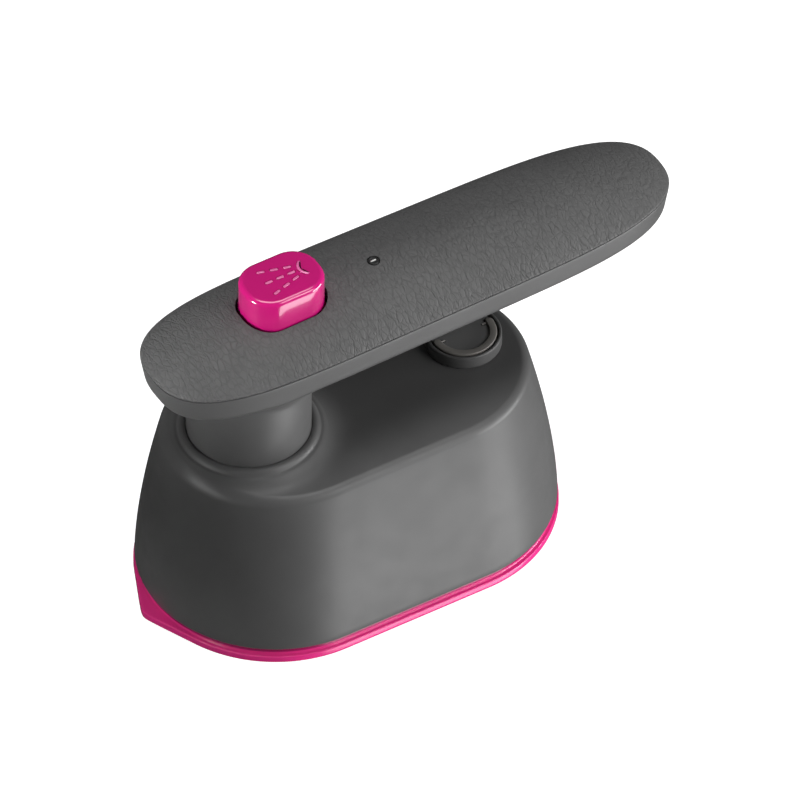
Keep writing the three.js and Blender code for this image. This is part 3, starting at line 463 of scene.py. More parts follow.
def leather():
    """Pebbled grip leather: cells drawn out across the handle, parted by fine creases."""
    n = Nodes("grip_leather", Specular_IOR_Level=0.38)
    warp = n.add("TexNoise", Vector=n.stretched((0.004, 0.004, 0.004)), Scale=1.0, Detail=2.0)
    shifted = n.add("VectorMath", {"operation": "SCALE"}, _0=warp.outputs["Color"], Scale=0.0016)
    place = n.add("VectorMath", {"operation": "ADD"}, _0=n.place, _1=shifted.outputs[0])

    def lines(length, width, degrees, share):
        """Rises from 0 on the edges of stretched cells to 1 at a share of the way in."""
        cell = n.stretched((length, width, width), math.radians(degrees), place.outputs[0])
        edges = n.add("TexVoronoi", {"feature": "DISTANCE_TO_EDGE"}, Vector=cell, Scale=1.0,
                      Randomness=1.0)
        return n.ramp(edges.outputs["Distance"], 0.0, share)

    crease = lines(0.00125, 0.0023, 12, 0.16)
    fold = lines(0.0021, 0.0065, -14, 0.14)
    pores = n.noise(0.0003, detail=3, roughness=0.7)
    height = n.math("ADD", n.math("MULTIPLY", crease, 0.55), n.math("MULTIPLY", fold, 0.6))
    height = n.math("ADD", height, n.math("MULTIPLY", pores, 0.16))
    n.bump(height, 0.00015)
    tone = n.tones(n.noise(0.02, detail=3), LEATHER, 0.94, 1.06)
    dark = n.math("MULTIPLY", n.ramp(crease, 0.0, 1.0, 0.90, 1.0), n.ramp(fold, 0.0, 1.0, 0.92, 1.0))
    mixed = n.add("Mix", {"data_type": "RGBA", "blend_type": "MULTIPLY"})
    mixed.inputs["Factor"].default_value = 1.0
    n.put(tone, mixed.inputs[6])
    n.put(dark, mixed.inputs[7])
    n.put(mixed.outputs[2], n.shader.inputs["Base Color"])
    n.put(n.ramp(crease, 0, 1, 0.68, 0.56), n.shader.inputs["Roughness"])
    return n.material


def coated(name, colour, roughness, speck=0.0008, step=None, **shader):
    """A glossy coating with a faint flow and orange-peel; above a step its colour is darkened as
    painted shade.
    """
    n = Nodes(name, **shader)
    tone = n.tones(n.noise(0.02, detail=2), colour, 0.95, 1.05)
    if step:
        # painted shade: above the step height the base colour drops to 0.4 of itself, standing in for
        # the shade in the groove under the body
        height = n.add("SeparateXYZ", Vector=n.place).outputs["Z"]
        light = n.ramp(height, step, step + 0.0004, 1.0, 0.4)
        tone = n.add("VectorMath", {"operation": "SCALE"}, Vector=tone, Scale=light).outputs[0]
    n.put(tone, n.shader.inputs["Base Color"])
    n.put(n.ramp(n.noise(0.005, detail=3), 0.3, 0.7, roughness - 0.02, roughness + 0.03),
          n.shader.inputs["Roughness"])
    n.bump(n.noise(speck, detail=1), 0.0000015)
    return n.material


def metal(name, colour, roughness, stretch=(0.012, 0.0002, 0.0002)):
    """Brushed or rolled metal: fine lines along X."""
    n = Nodes(name, Metallic=1.0)
    lines = n.noise(0, detail=3, vector=n.stretched(stretch))
    n.put(n.tones(lines, colour, 0.86, 1.1), n.shader.inputs["Base Color"])
    n.put(n.ramp(lines, 0.3, 0.7, roughness - 0.06, roughness + 0.08), n.shader.inputs["Roughness"])
    n.bump(lines, 0.000004)
    return n.material


LEATHER, CHARCOAL = grey(0.1), grey(0.098)

MATERIALS = {
    "body_plastic": moulded("body_plastic", CHARCOAL, 0.42, Specular_IOR_Level=0.42),
    # painted light: a lighter copy of the body plastic for the cap, making up for the shade the
    # handle casts over it
    "lid_plastic_painted_light": moulded("lid_plastic_painted_light", grey(0.17), 0.42),
    "grip_leather": leather(),
    # painted shade: the soleplate's colour is darkened above 2.8 mm, where the ledge and the step
    # under the body lie in shade
    "sole_coating": coated("sole_coating", (0.86, 0.035, 0.26), 0.2, step=0.0028, Coat_Weight=0.3,
                           Coat_Roughness=0.12),
    "button_plastic": coated("button_plastic", (0.62, 0.009, 0.19), 0.16, Coat_Weight=0.8,
                             Coat_Roughness=0.08),
    "key_icon": coated("key_icon", (0.82, 0.16, 0.42), 0.18, Coat_Weight=0.5, Coat_Roughness=0.1),
    "trim_plastic": moulded("trim_plastic", (0.21, 0.2, 0.187), 0.4),
    "black_plastic": moulded("black_plastic", grey(0.014), 0.5),
    "tank_plastic": moulded("tank_plastic", (0.52, 0.62, 0.68), 0.12, Transmission_Weight=0.6,
                            IOR=1.49, depth=0.000001),
    "rubber": moulded("rubber", grey(0.022), 0.72, grain=0.0005, depth=0.00001),
    "silicone": moulded("silicone", (0.58, 0.54, 0.48), 0.5, grain=0.0004),
    "steel": metal("steel", (0.56, 0.57, 0.58), 0.3),
    "aluminium": metal("aluminium", (0.68, 0.69, 0.70), 0.38),
    "ceramic": moulded("ceramic", (0.76, 0.72, 0.64), 0.4, grain=0.0006),
    "board": moulded("board", (0.012, 0.12, 0.045), 0.35, grain=0.0012, depth=0.00002),
    "lens": moulded("lens", (0.86, 0.86, 0.84), 0.15, depth=0.000001, Transmission_Weight=0.2),
}


# ------------------------------------------------------------------ handle, lower half

AROUND = 340  # points round the handle's outline


def under_height(distance):
    """Height of the handle's underside at a distance in from its outline."""
    curve = blend_curve(
        [(30, 79.5), (22, 79.5), (14, 79.5), (6, 79.75), (2.6, 80.2), (1.25, 80.95), (0.85, 82.1),
         (0.66, 84.4), (0.5, 86.2)], 12,
    )[::-1]
    return np.interp(distance, curve[:, 0], curve[:, 1])


def handle_lower():
    """The lower moulding in one skin: spigot, neck, fillet, underside, side wall and hollow."""
    centre = np.array([SWIVEL_X, 0])
    middle = np.array([HANDLE_CENTRE, 0])
    outline = handle_outline(AROUND) + middle

    def inside_by(inset):
        shrink = [1 - END_DRAFT * inset / HALF_LENGTH, 1 - inset / HALF_WIDTH]
        return middle + (outline - middle) * shrink

    start_inset, end_inset = 0.85, 0.15
    foot = inside_by(start_inset)  # where the side wall starts
    away = foot - centre
    reach = np.linalg.norm(away, axis=1)
    ray = away / reach[:, None]
    turn = ray[:, 0]
    fillet = 4.25 + 2.9 * turn + 0.6 * turn ** 2
    length = reach - NECK
    near = np.minimum(fillet * 1.15, 0.55 * length)
    far = np.minimum(14, 0.4 * length)

    def below(s):
        """The underside at distance s out from the neck, with the fillet taken off."""
        place = centre + ray * (NECK + s)[:, None]
        gap = np.full(AROUND, 1e9)
        closed = np.vstack([outline, outline[:1]])
        for start, end in zip(closed[:-1], closed[1:]):
            along = end - start
            t = np.clip(((place - start) @ along) / (along @ along), 0, 1)
            gap = np.minimum(gap, np.linalg.norm(place - start - t[:, None] * along, axis=1))
        bite = np.clip(fillet - s, 0, None)
        drop = fillet - np.sqrt(np.maximum(fillet ** 2 - bite ** 2, 0))
        blunt = 1 + 0.7 * np.abs((place[:, 0] - HANDLE_CENTRE) / HALF_LENGTH) ** 8
        return np.c_[place, under_height(gap / blunt) - drop]

    rings = []
    for share in 1 - np.cos(np.linspace(0, 0.5 * np.pi, 17)):
        rings.append(below(near * share))
    for share in np.linspace(0, 1, 9)[1:-1]:
        rings.append(below(near + (length - far - near) * share))
    for share in (1 - np.linspace(0, 1, 19)) ** 2.2:
        rings.append(below(length - far * share))
    start = rings[-1]
    for share in (0.04, 0.1, 0.18, 0.3, 0.45, 0.65, 0.85, 1.0):
        z = start[:, 2] + (WALL_TOP - 0.25 - start[:, 2]) * share
        rings.append(np.c_[inside_by(start_inset + (end_inset - start_inset) * share), z])
    rings = np.array(rings)
    for _ in range(5):  # soften the change from fillet to side wall
        rings[1:-1] = 0.25 * rings[:-2] + 0.5 * rings[1:-1] + 0.25 * rings[2:]

    def on_circle(radius, z):
        return np.c_[centre + ray * radius, np.full(AROUND, z)]

    neck_top = rings[0][:, 2]
    chamfer = 0.35
    stem = [
        on_circle(BORE, SPIGOT_BOTTOM + 0.3), on_circle(BORE + 0.3, SPIGOT_BOTTOM),
        on_circle(SPIGOT - 0.3, SPIGOT_BOTTOM), on_circle(SPIGOT, SPIGOT_BOTTOM + 0.3),
        on_circle(SPIGOT, NECK_BOTTOM - 0.1), on_circle(SPIGOT + 0.1, NECK_BOTTOM),
        on_circle(NECK - chamfer, NECK_BOTTOM), on_circle(NECK - 0.1, NECK_BOTTOM + 0.1),
        on_circle(NECK, NECK_BOTTOM + chamfer),
    ]
    for share in np.linspace(0, 1, 12)[1:-1]:
        z = NECK_BOTTOM + chamfer + (neck_top - NECK_BOTTOM - chamfer) * share
        stem.append(np.c_[centre + ray * NECK, z])
    top = []
    for inset, z in ((0.16, WALL_TOP - 0.1), (0.25, WALL_TOP), (2.3, WALL_TOP),
                     (2.4, WALL_TOP - 0.1), (2.4, 85), (3.1, 83.2), (4.6, 82.3),
                     (8, HANDLE_FLOOR)):
        top.append(np.c_[inside_by(inset), np.full(AROUND, z)])
    last = top[-1]
    floor = on_circle(BORE, HANDLE_FLOOR)
    top += [last + (floor - last) * share for share in (0.3, 0.7)]
    top += [floor, on_circle(BORE, 70), on_circle(BORE, 58)]
    lower = tunnel("handle_shell_lower", [*stem, *rings, *top])
    boss, head, shank, seat = 4.2, 3.1, 1.6, 82
    bosses = [bar("boss", x, y, boss, 80.7, 84.2) for x, y in SCREWS]
    combine(lower, joined("bosses", bosses), "UNION")
    below_handle, above_boss = 76, 88
    profile = [(0, below_handle), (head, below_handle), (head, seat), (shank, seat),
               (shank, above_boss), (0, above_boss)]
    cuts = [turned("counterbore", profile, x, y, segments=40) for x, y in SCREWS]
    combine(lower, joined("counterbores", cuts))
    pocket, start, end = 3.8, 66.7, 74.4
    combine(lower, turned("pocket", [(0, start), (pocket, start), (pocket, end), (0, end)],
                          along_x=GLAND_Z, segments=48))
    mouth, flare, past_end = 3.3, 3.7, 86
    combine(lower, turned("mouth", [
        (0, 70), (mouth, 70), (mouth, HANDLE_END - 0.4), (flare, HANDLE_END), (flare, past_end),
        (0, past_end),
    ], along_x=GLAND_Z, segments=64))
    finished(lower, "handle", "body_plastic", "handle_lower", sharp=42)


handle_lower()


# ------------------------------------------------------------------ handle, grip and carrier

def crown_ring(outline, share, drop, inset=0.1, lowest=0.0):
    """The outline drawn in to a share of its size, at a drop below the crowned top."""
    shrunk = outline * [1 - END_DRAFT * inset / HALF_LENGTH, 1 - inset / HALF_WIDTH]
    x, y = shrunk[:, 0] * share, shrunk[:, 1] * share
    return np.c_[x + HANDLE_CENTRE, y, np.maximum(crown(x, y) - drop, lowest)]


def button_well():
    """The opening round the button, as a solid to cut with."""
    return prism("well", button_ring(END_GAP, SIDE_GAP), 80, 110)


def grip_pad():
    """The leather-grained pad: flat below, crowned above, with a soft edge."""
    outline = handle_outline(AROUND)
    lowest = WALL_TOP + GAP
    shares = [0.12, 0.3, 0.5, 0.66, 0.78, 0.87, 0.93, 0.97, 0.99]
    rings = [crown_ring(outline, s, PAD, lowest=lowest) for s in shares]
    edge = 0.34
    for inset, drop in ((0.22, edge), (0.12, edge - 0.06), (0.1, 0.18), (0.13, 0.08), (0.2, 0.02)):
        rings.append(crown_ring(outline, 1.0, drop, inset=inset))
    rings[len(shares)][:, 2] = lowest
    tops = [0.995, 0.985, 0.97, 0.95, 0.92, 0.88, 0.83, 0.77, 0.7, 0.62, 0.53, 0.43, 0.32, 0.2, 0.08]
    rings += [crown_ring(outline, s, 0) for s in tops]
    pad = loft("grip_leather", rings, caps=())
    combine(pad, button_well())
    combine(pad, bar("mark_hole", MARK_X, 0, MARK + GAP, 80, 110))
    finished(pad, "handle", "grip_leather", "grip_pad", sharp=40)


grip_pad()


# ------------------------------------------------------------------ status mark

def status_mark():
    """A small dark bezel, raised a little from the grip."""
    top = LENS_HIGH[2]
    profile = rounded_profile([
        (0, LENS_LOW[2]), (2.4, LENS_LOW[2], 0.1), (2.4, 93.6, 0.1), (MARK, 93.6), (MARK, top, 0.2),
        (MARK - 0.35, top, 0.1), (MARK - 0.45, top - 0.18, 0.05), (0, top - 0.18),
    ])
    bezel = turned("status_bezel", profile, MARK_X, 0, segments=48)
    finished(bezel, "handle", "lens", "indicator_lens", look="black_plastic")


status_mark()


def status_bar():
    """A rounded light pipe standing in the bezel, with its tilt along the handle."""
    top = LENS_HIGH[2]
    line = rounded_rectangle(1.7, 0.5, 0.24, steps=6, side=4)
    rings = []
    for inset, z in ((0, top - 0.6), (0, top - 0.12), (0.05, top - 0.05), (0.13, top)):
        share = np.array([1 - inset / 0.85, 1 - inset / 0.25])
        rings.append(at(line * share + [MARK_X, 0.1], z))
    finished(loft("status_light", rings, caps=()), "handle", "lens")


status_bar()


# ------------------------------------------------------------------ steam button

def pill(length, width, grow):
    """A small outline with round ends."""
    return rounded_rectangle(length + 2 * grow, width + 2 * grow, (width + 2 * grow) / 2 - 0.01,
                             steps=6, side=4)


def dashes():
    """Places and outlines of the nine small pills on the button, fanned out in three rows."""
    for spread in (-1, 0, 1):
        turn = math.radians(-15 * spread)
        rotate = np.array([[math.cos(turn), math.sin(turn)], [-math.sin(turn), math.cos(turn)]])
        for step in range(3):
            place = [BUTTON_X + 3.1 - 3.5 * step, spread * (2.3 + 1.0 * step)]
            yield lambda grow: pill(2.2, 0.75, grow) @ rotate + place


def crescent(grow):
    """A thin crescent that stands for the spray head, open to the far end."""
    angle = np.radians(np.linspace(-60, 60, 29))
    centre = BUTTON_X + 8.4
    outer, inner = 3.25 + grow, 2.75 - grow
    rim = np.c_[centre - outer * np.cos(angle), outer * np.sin(angle)]
    hollow = np.c_[centre + 0.32 - inner * np.cos(angle), inner * np.sin(angle)][::-1]
    return np.vstack([rim, hollow])


def steam_button():
    """The hollow button on its flange, with a bevelled top and recesses for its sign."""
    bevel, base, foot = 1.5, BUTTON_BASE, BUTTON_FLANGE
    rings = [at(button_ring(1.6), foot), at(button_ring(1.9), foot + 0.2),
             at(button_ring(1.9), base - 0.2), at(button_ring(1.6), base),
             at(button_ring(0.15), base), at(button_ring(0), base + 0.2)]
    for z in np.linspace(base + 0.2, BUTTON_TOP - bevel, 7)[1:]:
        rings.append(at(button_ring(0), z))
    for degrees in np.linspace(0, 90, 10)[1:]:
        angle = math.radians(degrees)
        rings.append(at(button_ring(-bevel * (1 - math.cos(angle))),
                        BUTTON_TOP - bevel + bevel * math.sin(angle)))
    button = loft("steam_key", rings, caps=(0.985, 0.95, 0.8, 0.5))
    combine(button, prism("hollow", button_ring(-2), 80, BUTTON_TOP - 2.5))
    combine(button, bar("post", BUTTON_X, 0, 2.4, 90.2, BUTTON_TOP - 1), "UNION")
    low, high = BUTTON_TOP - 0.3, BUTTON_TOP + 1
    marks = [prism("dash", outline(0.16), low, high) for outline in dashes()]
    combine(button, joined("dashes", marks))
    combine(button, prism("crescent", crescent(0.12), low, high))
    finished(button, "button", "button_plastic", "steam_button", sharp=45)


steam_button()


def key_icon():
    """The pills and the crescent: small raised inlays, rounded along their edges."""
    low, high = BUTTON_TOP - 0.4, BUTTON_TOP + ICON_RISE
    levels = ((0.0, low), (0.0, high - 0.16), (-0.04, high - 0.06), (-0.14, high))
    inlays = [
        loft("inlay", [at(outline(grow), z) for grow, z in levels], caps=(0.7, 0.3))
        for outline in dashes()
    ]
    inlays.append(loft("inlay", [at(crescent(min(grow, -0.02)), z) for grow, z in levels], caps=()))
    finished(joined("key_icon", inlays), "button", "button_plastic", look="key_icon", sharp=60)


key_icon()


# ------------------------------------------------------------------ body shell

def boss_height(radius):
    """Height of the deck at a distance from the swivel's axis: the ring round the neck's foot."""
    curve = blend_curve(
        [(BOSS_INNER, 56.8), (BOSS_INNER, 57.15), (17.1, 57.2), (17.6, 57.2), (18.2, 57.05),
         (18.8, 56.5), (19.2, 55.9), (19.5, 55.75), (19.9, 55.65), (20.4, 55.35),
         (21.6, 54.4), (23.2, 53.5), (25.5, 52.95), (29, BODY["top"]), (34, BODY["top"])], 10,
    )
    return np.interp(radius, np.maximum.accumulate(curve[:, 0]), curve[:, 1])


def body_shell():
    """The body in one skin: wall, shoulder, deck, ring round the neck, swivel hole and inside."""
    arc, side = 64, 40
    bottom, top, shoulder, deck = (BODY[k] for k in ("bottom", "top", "shoulder", "deck"))
    centre = np.array([SWIVEL_X, 0])

    def ring(z, inset=0.0):
        return oval(body_shape(z), inset, arc, side)

    start = top - shoulder
    outer = [at(oval(BODY, 0.5, arc, side), bottom), at(ring(bottom + 0.07, 0.24), bottom + 0.07),
             at(ring(bottom + 0.25, 0.07), bottom + 0.25), at(ring(bottom + 0.5), bottom + 0.5)]
    for z in np.linspace(bottom + 0.5, start, 26)[1:]:
        outer.append(at(ring(z), z))
    for degrees in np.linspace(0, 90, 13)[1:]:
        angle = math.radians(degrees)
        z = start + shoulder * math.sin(angle)
        plan = ring(z, shoulder * (1 - math.cos(angle)))
        radius = np.linalg.norm(plan - centre, axis=1)
        height = start + (np.maximum(boss_height(radius), top) - start) * math.sin(angle)
        outer.append(at(plan, height))
    rim = outer[-1][:, :2]
    ray = rim - centre
    ray = ray / np.linalg.norm(ray, axis=1)[:, None]
    circle_points = centre + ray * BOSS_INNER
    span = np.linalg.norm(rim - circle_points, axis=1)
    near = np.minimum(4.5, 0.999 * span)
    for share in np.linspace(0, 1, 22)[1:-1]:  # the open deck, then the ring round the neck
        plan = rim + (circle_points + ray * near[:, None] - rim) * share
        outer.append(at(plan, boss_height(np.linalg.norm(plan - centre, axis=1))))
    for share in np.linspace(1, 0, 30) ** 1.1:
        plan = circle_points + ray * (near * share)[:, None]
        outer.append(at(plan, boss_height(np.linalg.norm(plan - centre, axis=1))))
    for z in (54, 52.6, 51.1):
        outer.append(at(circle_points, z))
    for radius, z in ((16.9, 51.0), (14.5, 51.0), (14.3, 50.8), (14.3, 49.2), (14.5, 49.0)):
        outer.append(at(centre + ray * radius, z))
    under = top - deck
    inside = ring(under, WALL + 0.8)
    hub = centre + ray * 14.5
    for share in (0.1, 0.4, 0.8, 1.0):
        outer.append(at(hub + (inside - hub) * share, under))
    for z in np.linspace(under - 1, bottom, 9):
        outer.append(at(ring(z, WALL), z))
    shell = tunnel("body_case", outer)
    pillars, bores = [], []
    pillar_x, pillar, bore = -14, 3, 1.4
    for y in (22, -22):
        pillars.append(bar("pillar", pillar_x, y, pillar, 16.6, under + 1))
        bores.append(bar("bore", pillar_x, y, bore, 10, 30))
    combine(shell, joined("pillars", pillars), "UNION")
    combine(shell, joined("bores", bores))
    combine(shell, bar("filler_hole", FILLER_X, 0, THROAT + 1.5, 40, 60, segments=96))
    finished(shell, "base", "body_plastic", "body_shell", sharp=50)


body_shell()


# ------------------------------------------------------------------ soleplate

def soleplate():
    """The plate with its band, ledge and step, its inner chamber, posts and steam vents."""
    band, top = 2.3, 4.2

    def ledge(share):
        """Between the band's top edge and the foot of the step under the body."""
        return lip + (step - lip) * share

    lip = plate_outline(0.3)
    step = oval(PLATE, 1.2, arc=120)
    rings = [at(plate_outline(inset), z) for inset, z in (
        (1.6, 0.0), (0.75, 0.0), (0.5, 0.02), (0.2, 0.14), (0.06, 0.3), (0, 0.5), (0, 1.0),
        (0, 1.6), (0, band - 0.25), (0.04, band - 0.1), (0.13, band - 0.02),
    )]
    rings.append(at(lip, band))
    for share, z in ((0.3, 2.31), (0.6, 2.35), (0.85, 2.48), (0.96, 2.75), (1.0, 3.1)):
        rings.append(at(ledge(share), z))
    rings += [at(step, 3.6), at(step, top - 0.15), at(oval(PLATE, 1.35, arc=120), top)]
    plate = loft("sole_plate", rings, caps=(0.9, 0.6, 0.3))
    chamber = dict(front=-58, rear=28, half_width=21, front_centre=-30, rear_centre=6)
    combine(plate, prism("wall", oval(chamber), band, 9.5), "UNION")
    combine(plate, prism("pocket", oval(chamber, 2), 2.2, 20))
    posts, bores = [], []
    for x, y in ((-44, 9), (-44, -9), (12, 9), (12, -9)):
        posts.append(bar("post", x, y, 3, 1.8, 9.5))
        bores.append(bar("bore", x, y, 1.4, 4, 20))
    for x, y in ((-70.2, 0), (31, 16), (31, -16)):
        posts.append(bar("post", x, y, 2.8, 3.2, 14.0))
        bores.append(bar("bore", x, y, 1.4, 5, 20))
    combine(plate, joined("posts", posts), "UNION")
    combine(plate, joined("bores", bores))
    holes = [(-52.5, 0)]
    for row in range(5):
        x, y = -44.5 + 13 * row, 13.2 + 0.9 * row
        holes += [(x, y), (x, -y)]
    profile = [(0, -1), (1.9, -1), (1.9, 0), (1.25, 0.55), (1.25, 3.0), (0, 3.0)]
    vents = [turned("vent", profile, x, y, segments=40) for x, y in holes]
    combine(plate, joined("vents", vents))
    finished(plate, "base", "sole_coating", "soleplate", sharp=40)


soleplate()


# ------------------------------------------------------------------ filler: collar, cap, seal, bail

def collar():
    """The ring that stands round the filler's throat."""
    foot, bore, ledge = BODY["top"] + GAP, CAP + 0.45, BODY["top"] + GAP + 0.9
    profile = rounded_profile([
        (THROAT, foot - 0.7), (THROAT + 1.1, foot - 0.7), (THROAT + 1.1, foot),
        (COLLAR, foot, 0.15), (COLLAR, RIM, 0.45), (bore, RIM, 0.3), (bore, ledge), (THROAT, ledge),
    ])
    ring = turned("filler_ring", profile, FILLER_X, segments=128)
    finished(ring, "base", "body_plastic", "filler_collar")


collar()


def half_ring(floor, past):
    """A half-round channel for the bail, running on past the pivot line."""
    low, high = BAIL_INNER - 0.2, CAP + 1
    section = [(low, floor), (high, floor), (high, 58), (low, 58)]
    over = math.degrees(math.asin(past / CAP))
    angles = np.radians(np.linspace(-180 - over, over, 97))
    points = np.array([
        [(FILLER_X + r * math.cos(a), r * math.sin(a), z) for r, z in section] for a in angles
    ])
    faces = band_faces(len(points), 4, False)
    last = (len(points) - 1) * 4
    faces += [(0, 1, 2, 3), (last + 3, last + 2, last + 1, last)]
    return make("channel", points.reshape(-1, 3), faces)


def cap():
    """The filler cap: a hollow plug with a groove for its seal and a recess for its bail."""
    plug, groove, disc, top = THROAT - 0.7, THROAT - 1.5, 54.4, 56.3
    profile = rounded_profile([
        (plug - 1.4, 47.8), (plug, 47.8, 0.3), (plug, 49.4), (groove, 49.4), (groove, 51.4),
        (plug, 51.4), (plug, disc), (CAP, disc, 0.15), (CAP, top, 0.25), (0, top), (0, 53.2),
        (plug - 1.4, 53.2),
    ])
    lid = turned("filler_lid", profile, FILLER_X, segments=128)
    combine(lid, half_ring(BAIL_LOW - 0.2, 1.3))
    half = PIN + 0.15  # half the width of a pin's slot
    above = 60
    for side in (-1, 1):
        low, high = sorted((side * (BAIL_INNER - 0.2), side * (CAP + 1)))
        combine(lid, block("pocket", (low + FILLER_X, -1.5, BAIL_LOW - 1.1),
                           (high + FILLER_X, 1.4, above)))
        low, high = sorted((side * (BAIL_INNER - 1.3), side * BAIL_INNER))
        combine(lid, block("slot", (low + FILLER_X, -half, PIVOT_Z - half),
                           (high + FILLER_X, half, above)))
    # the cap takes the lighter copy of the body plastic, painted light against the handle's shade
    finished(lid, "cap", "body_plastic", "filler_cap", look="lid_plastic_painted_light")


cap()


def seal():
    """The soft ring in the cap's groove."""
    profile = rounded_profile([
        (THROAT - 1.3, 49.8), (THROAT - 0.6, 49.8, 0.1), (THROAT - 0.3, 50.4, 0.2),
        (THROAT - 0.6, 51, 0.1), (THROAT - 1.3, 51),
    ])
    finished(turned("lid_seal", profile, FILLER_X), "cap", "silicone", "cap_seal")


seal()


def bail():
    """A half ring with round ends; its section has softened edges."""
    middle, half = (BAIL_INNER + CAP) / 2, (CAP - BAIL_INNER) / 2
    low, high, soft = BAIL_LOW, cad_box("cap_bail")[1][2], 0.3
    steps = 72

    def outline(inset):
        grown = half - inset
        points = []
        for a in np.radians(np.linspace(0, -180, steps)):
            points.append((middle + grown) * np.array([math.cos(a), math.sin(a)]))
        for a in np.radians(np.linspace(180, 0, 17)[1:-1]):
            points.append(np.array([-middle + grown * math.cos(a), grown * math.sin(a)]))
        for a in np.radians(np.linspace(-180, 0, steps)):
            points.append((middle - grown) * np.array([math.cos(a), math.sin(a)]))
        for a in np.radians(np.linspace(180, 0, 17)[1:-1]):
            points.append(np.array([middle + grown * math.cos(a), grown * math.sin(a)]))
        return np.array(points) + [FILLER_X, 0]

    rings = []
    for inset, z in ((soft, low), (0.09, low + 0.09), (0, low + soft), (0, high - soft),
                     (0.04, high - 0.15), (0.14, high - 0.04), (soft, high)):
        rings.append(at(outline(inset), z))
    rings = np.array(rings)
    count = rings.shape[1]
    faces = band_faces(len(rings), count, False)
    last = (len(rings) - 1) * count
    gap = 15
    for base, flip in ((0, True), (last, False)):
        order = []
        for i in range(steps - 1):
            a, b = base + i, base + i + 1
            c = base + steps + gap + (steps - 2 - i)
            d = base + steps + gap + (steps - 1 - i)
            order.append((a, b, c, d))
        order.append(tuple(base + i for i in range(steps - 1, steps + gap + 1)))
        order.append(tuple(base + i % count for i in range(2 * steps + gap - 1, count + 1)))
        faces += [f[::-1] if flip else f for f in order]
    ring = make("lid_bail", rings.reshape(-1, 3), faces)
    for side in (-1, 1):
        low_x, high_x = sorted((side * (BAIL_INNER - 1.3), side * (BAIL_INNER + 0.5)))
        pin = turned("pin", [(0, FILLER_X + low_x), (PIN, FILLER_X + low_x),
                             (PIN, FILLER_X + high_x), (0, FILLER_X + high_x)],
                     along_x=PIVOT_Z, segments=24)
        combine(ring, pin, "UNION")
    finished(ring, "bail", "trim_plastic", "cap_bail")


bail()


# ------------------------------------------------------------------ gland and handle screws

def gland():
    """The soft ring that holds the cord where it leaves the handle."""
    profile = rounded_profile([
        (2.5, 67), (3.5, 67, 0.1), (3.5, 74.1, 0.1), (3.0, 74.1), (3.0, HANDLE_END, 0.2),
        (2.5, HANDLE_END, 0.15),
    ])
    ring = turned("cord_gland_ring", profile, along_x=GLAND_Z, segments=64)
    finished(ring, "handle", "rubber", "cord_gland")


gland()


def pan_screw(name, node, x, y, seat, length, head, shank):
    """A pan-head screw with its head below and a cross recess."""
    back = seat - 1.3
    profile = rounded_profile([
        (0, seat + length), (shank * 0.5, seat + length), (shank, seat + length - 0.8),
        (shank, seat), (head, seat, 0.1), (head, back, 0.6), (0, back),
    ])
    screw = turned(name, profile, x, y, segments=40)
    half, arm = 0.3, head * 0.6
    for long_x, long_y in ((arm, half), (half, arm)):
        combine(screw, block("slot", (x - long_x, y - long_y, back - 0.5),
                             (x + long_x, y + long_y, back + 0.7)))
    finished(screw, "handle", "steel", node)


for index, (screw_x, screw_y) in enumerate(SCREWS, 1):
    pan_screw(f"grip_screw_{index}", f"handle_screw_{index}", screw_x, screw_y, 81.7, 7, 2.7, 1.1)


def button_spring():
    """The coil under the steam button; the real one shortens as the button goes down, this mesh keeps
    one length.
    """
    radius, wire, turns = 7.6, 0.45, 3.5
    low, high, travel = 84.5, 89.1, 2.0
    steps, sides = 240, 20
    round_wire = np.linspace(0, 2 * math.pi, sides, endpoint=False)
    rings = []
    for share in np.linspace(0, 1, steps + 1):
        angle = 2 * math.pi * turns * share
        out = np.array([math.cos(angle), math.sin(angle), 0])
        middle = radius * out
        middle += [BUTTON_X, 0, low + wire + (high - low - 2 * wire) * share]
        rings.append(np.array([
            middle + wire * (math.cos(a) * out - math.sin(a) * np.array([0, 0, 1]))
            for a in round_wire
        ]))
    coil = loft("key_coil", rings)
    finished(coil, "handle", "steel", "button_spring")
    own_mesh(coil)


button_spring()


# ------------------------------------------------------------------ CAD nodes that stay

CARRIED = {
    "heating_element": "steel", "chamber_gasket": "silicone", "chamber_cover": "aluminium",
    "thermostat": "ceramic", "thermal_fuse": "ceramic", "fuse_clip": "steel",
    "inner_frame": "black_plastic", "pump": "black_plastic", "pump_bracket": "steel",
    "suction_tube": "silicone", "delivery_tube": "silicone", "water_tank": "tank_plastic",
    "swivel_bush": "silicone", "base_harness": "rubber", "retaining_ring": "steel",
    "wave_washer": "steel", "handle_upper": "black_plastic", "control_board": "board",
    "micro_switch": "black_plastic", "indicator_led": "lens",
    "terminal_block": "ceramic", "handle_harness": "rubber", "neck_harness": "rubber",
    "switch_plunger": "silicone", "filler_sleeve": "silicone",
}
for node_name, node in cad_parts.items():
    if node.hide_render:
        continue
    finish = CARRIED.get(node_name, "steel")
    node.data.materials.clear()
    node.data.materials.append(MATERIALS[finish])
    for polygon in node.data.polygons:
        polygon.material_index = 0


# ------------------------------------------------------------------ stage, lights and camera

def backdrop_material():
    """Near-white paper that keeps a trace of shadow."""
    n = Nodes("paper", Roughness=0.9, Specular_IOR_Level=0.0)
    n.put(n.tones(n.noise(0.4, detail=2), grey(0.5), 1, 1.04), n.shader.inputs["Base Color"])
    n.shader.inputs["Emission Color"].default_value = (1, 1, 1, 1)
    n.shader.inputs["Emission Strength"].default_value = 0.92
    return n.material


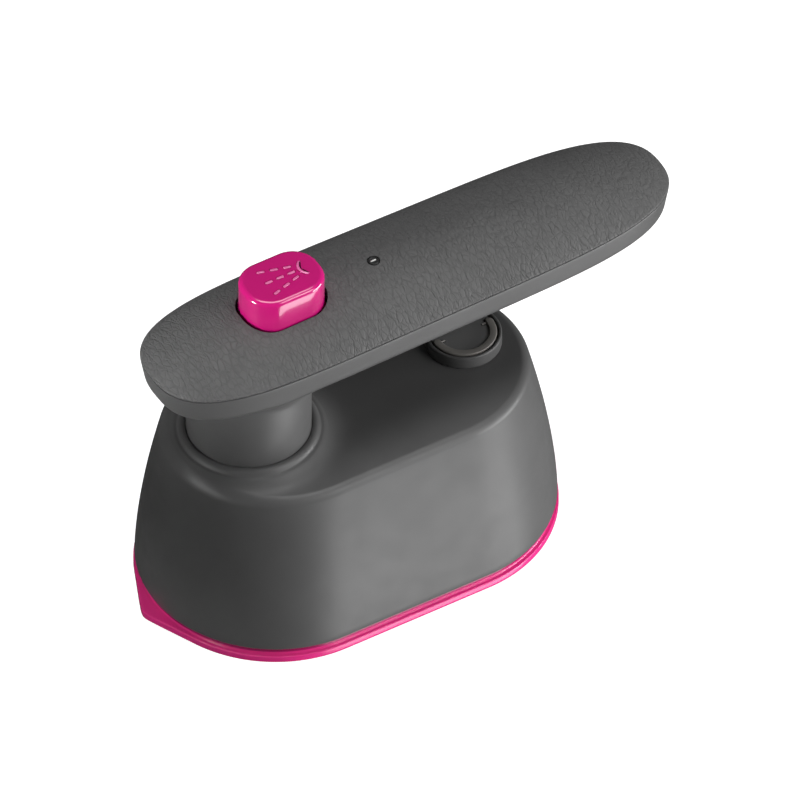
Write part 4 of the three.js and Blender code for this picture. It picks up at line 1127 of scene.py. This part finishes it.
def stage():
    """A floor just below the object and a dome over it, seen only by the camera."""
    paper = backdrop_material()
    reach, below, count = 4000.0, -0.2, 96
    disc = circle(0, 0, reach, count)
    floor = make("floor", np.vstack([at(disc, below), [[0, 0, below]]]),
                 [(i, (i + 1) % count, count) for i in range(count)])
    levels = np.radians(np.linspace(0, 88, 12))
    rings = [
        at(circle(0, 0, reach * math.cos(a), count), reach * math.sin(a) + below) for a in levels
    ]
    dome = make("backdrop", np.vstack(rings), band_faces(len(rings), count, False))
    for obj in (floor, dome):
        obj.data.materials.append(paper)
        obj.data.shade_smooth()
        obj.visible_diffuse = obj.visible_glossy = False
        obj.visible_transmission = obj.visible_shadow = False


stage()


def facing(name, data, aim, azimuth, elevation, distance):
    """A light or camera that faces a place; azimuth 0 is on the -Y side and 90 on the +X side."""
    a, e = math.radians(azimuth), math.radians(elevation)
    back = Vector((math.sin(a) * math.cos(e), -math.cos(a) * math.cos(e), math.sin(e)))
    obj = bpy.data.objects.new(name, data)
    obj.location = Vector(aim) + back * distance
    obj.rotation_mode = "QUATERNION"
    obj.rotation_quaternion = back.to_track_quat("Z", "Y")
    bpy.context.scene.collection.objects.link(obj)
    return obj


def softbox(name, azimuth, elevation, distance, size, power, spread=180, aim=(0, 0, 0.05)):
    """An area light that isn't seen itself."""
    light = bpy.data.lights.new(name, "AREA")
    light.shape = "RECTANGLE"
    light.size, light.size_y = size
    light.energy = power
    light.spread = math.radians(spread)
    facing(name, light, aim, azimuth, elevation, distance).visible_camera = False


FAR, NEAR = 0.9, 0.3  # metres from a light to what it faces
BUTTON_PLACE = (BUTTON_X * MM, 0, 0.1)
POINT_PLACE = (-0.077, 0, 0.002)
softbox("key", 50, 4, FAR, (0.7, 0.3), 8.0)
softbox("table_bounce", 32, -32, FAR, (0.7, 0.5), 4.5)
softbox("overhead", 150, 86, FAR, (0.7, 0.4), 4.6)
softbox("fill", 26, 40, FAR, (0.35, 0.3), 2.0)
softbox("button_kicker", -92, 4, NEAR, (0.08, 0.05), 0.024, spread=24, aim=BUTTON_PLACE)
softbox("beak_kicker", -75, 20, NEAR, (0.08, 0.04), 0.007, spread=20, aim=POINT_PLACE)


def studio():
    """A dim white world, and colours shown as they are."""
    world = bpy.data.worlds.new("studio")
    world.use_nodes = True
    background = world.node_tree.nodes["Background"].inputs
    background["Color"].default_value = (1, 1, 1, 1)
    background["Strength"].default_value = 0.06
    bpy.context.scene.world = world
    bpy.context.scene.view_settings.view_transform = "Standard"


studio()


def camera():
    """A parallel view from the near left, looking down at the middle of the object."""
    azimuth, elevation, distance = -30.8, 45.6, 1.2
    target, width = (-0.0005, 0, 0.0411), 0.2126
    data = bpy.data.cameras.new("camera")
    data.type = "ORTHO"
    data.ortho_scale = width
    data.clip_end = 12
    bpy.context.scene.camera = facing("camera", data, target, azimuth, elevation, distance)


camera()
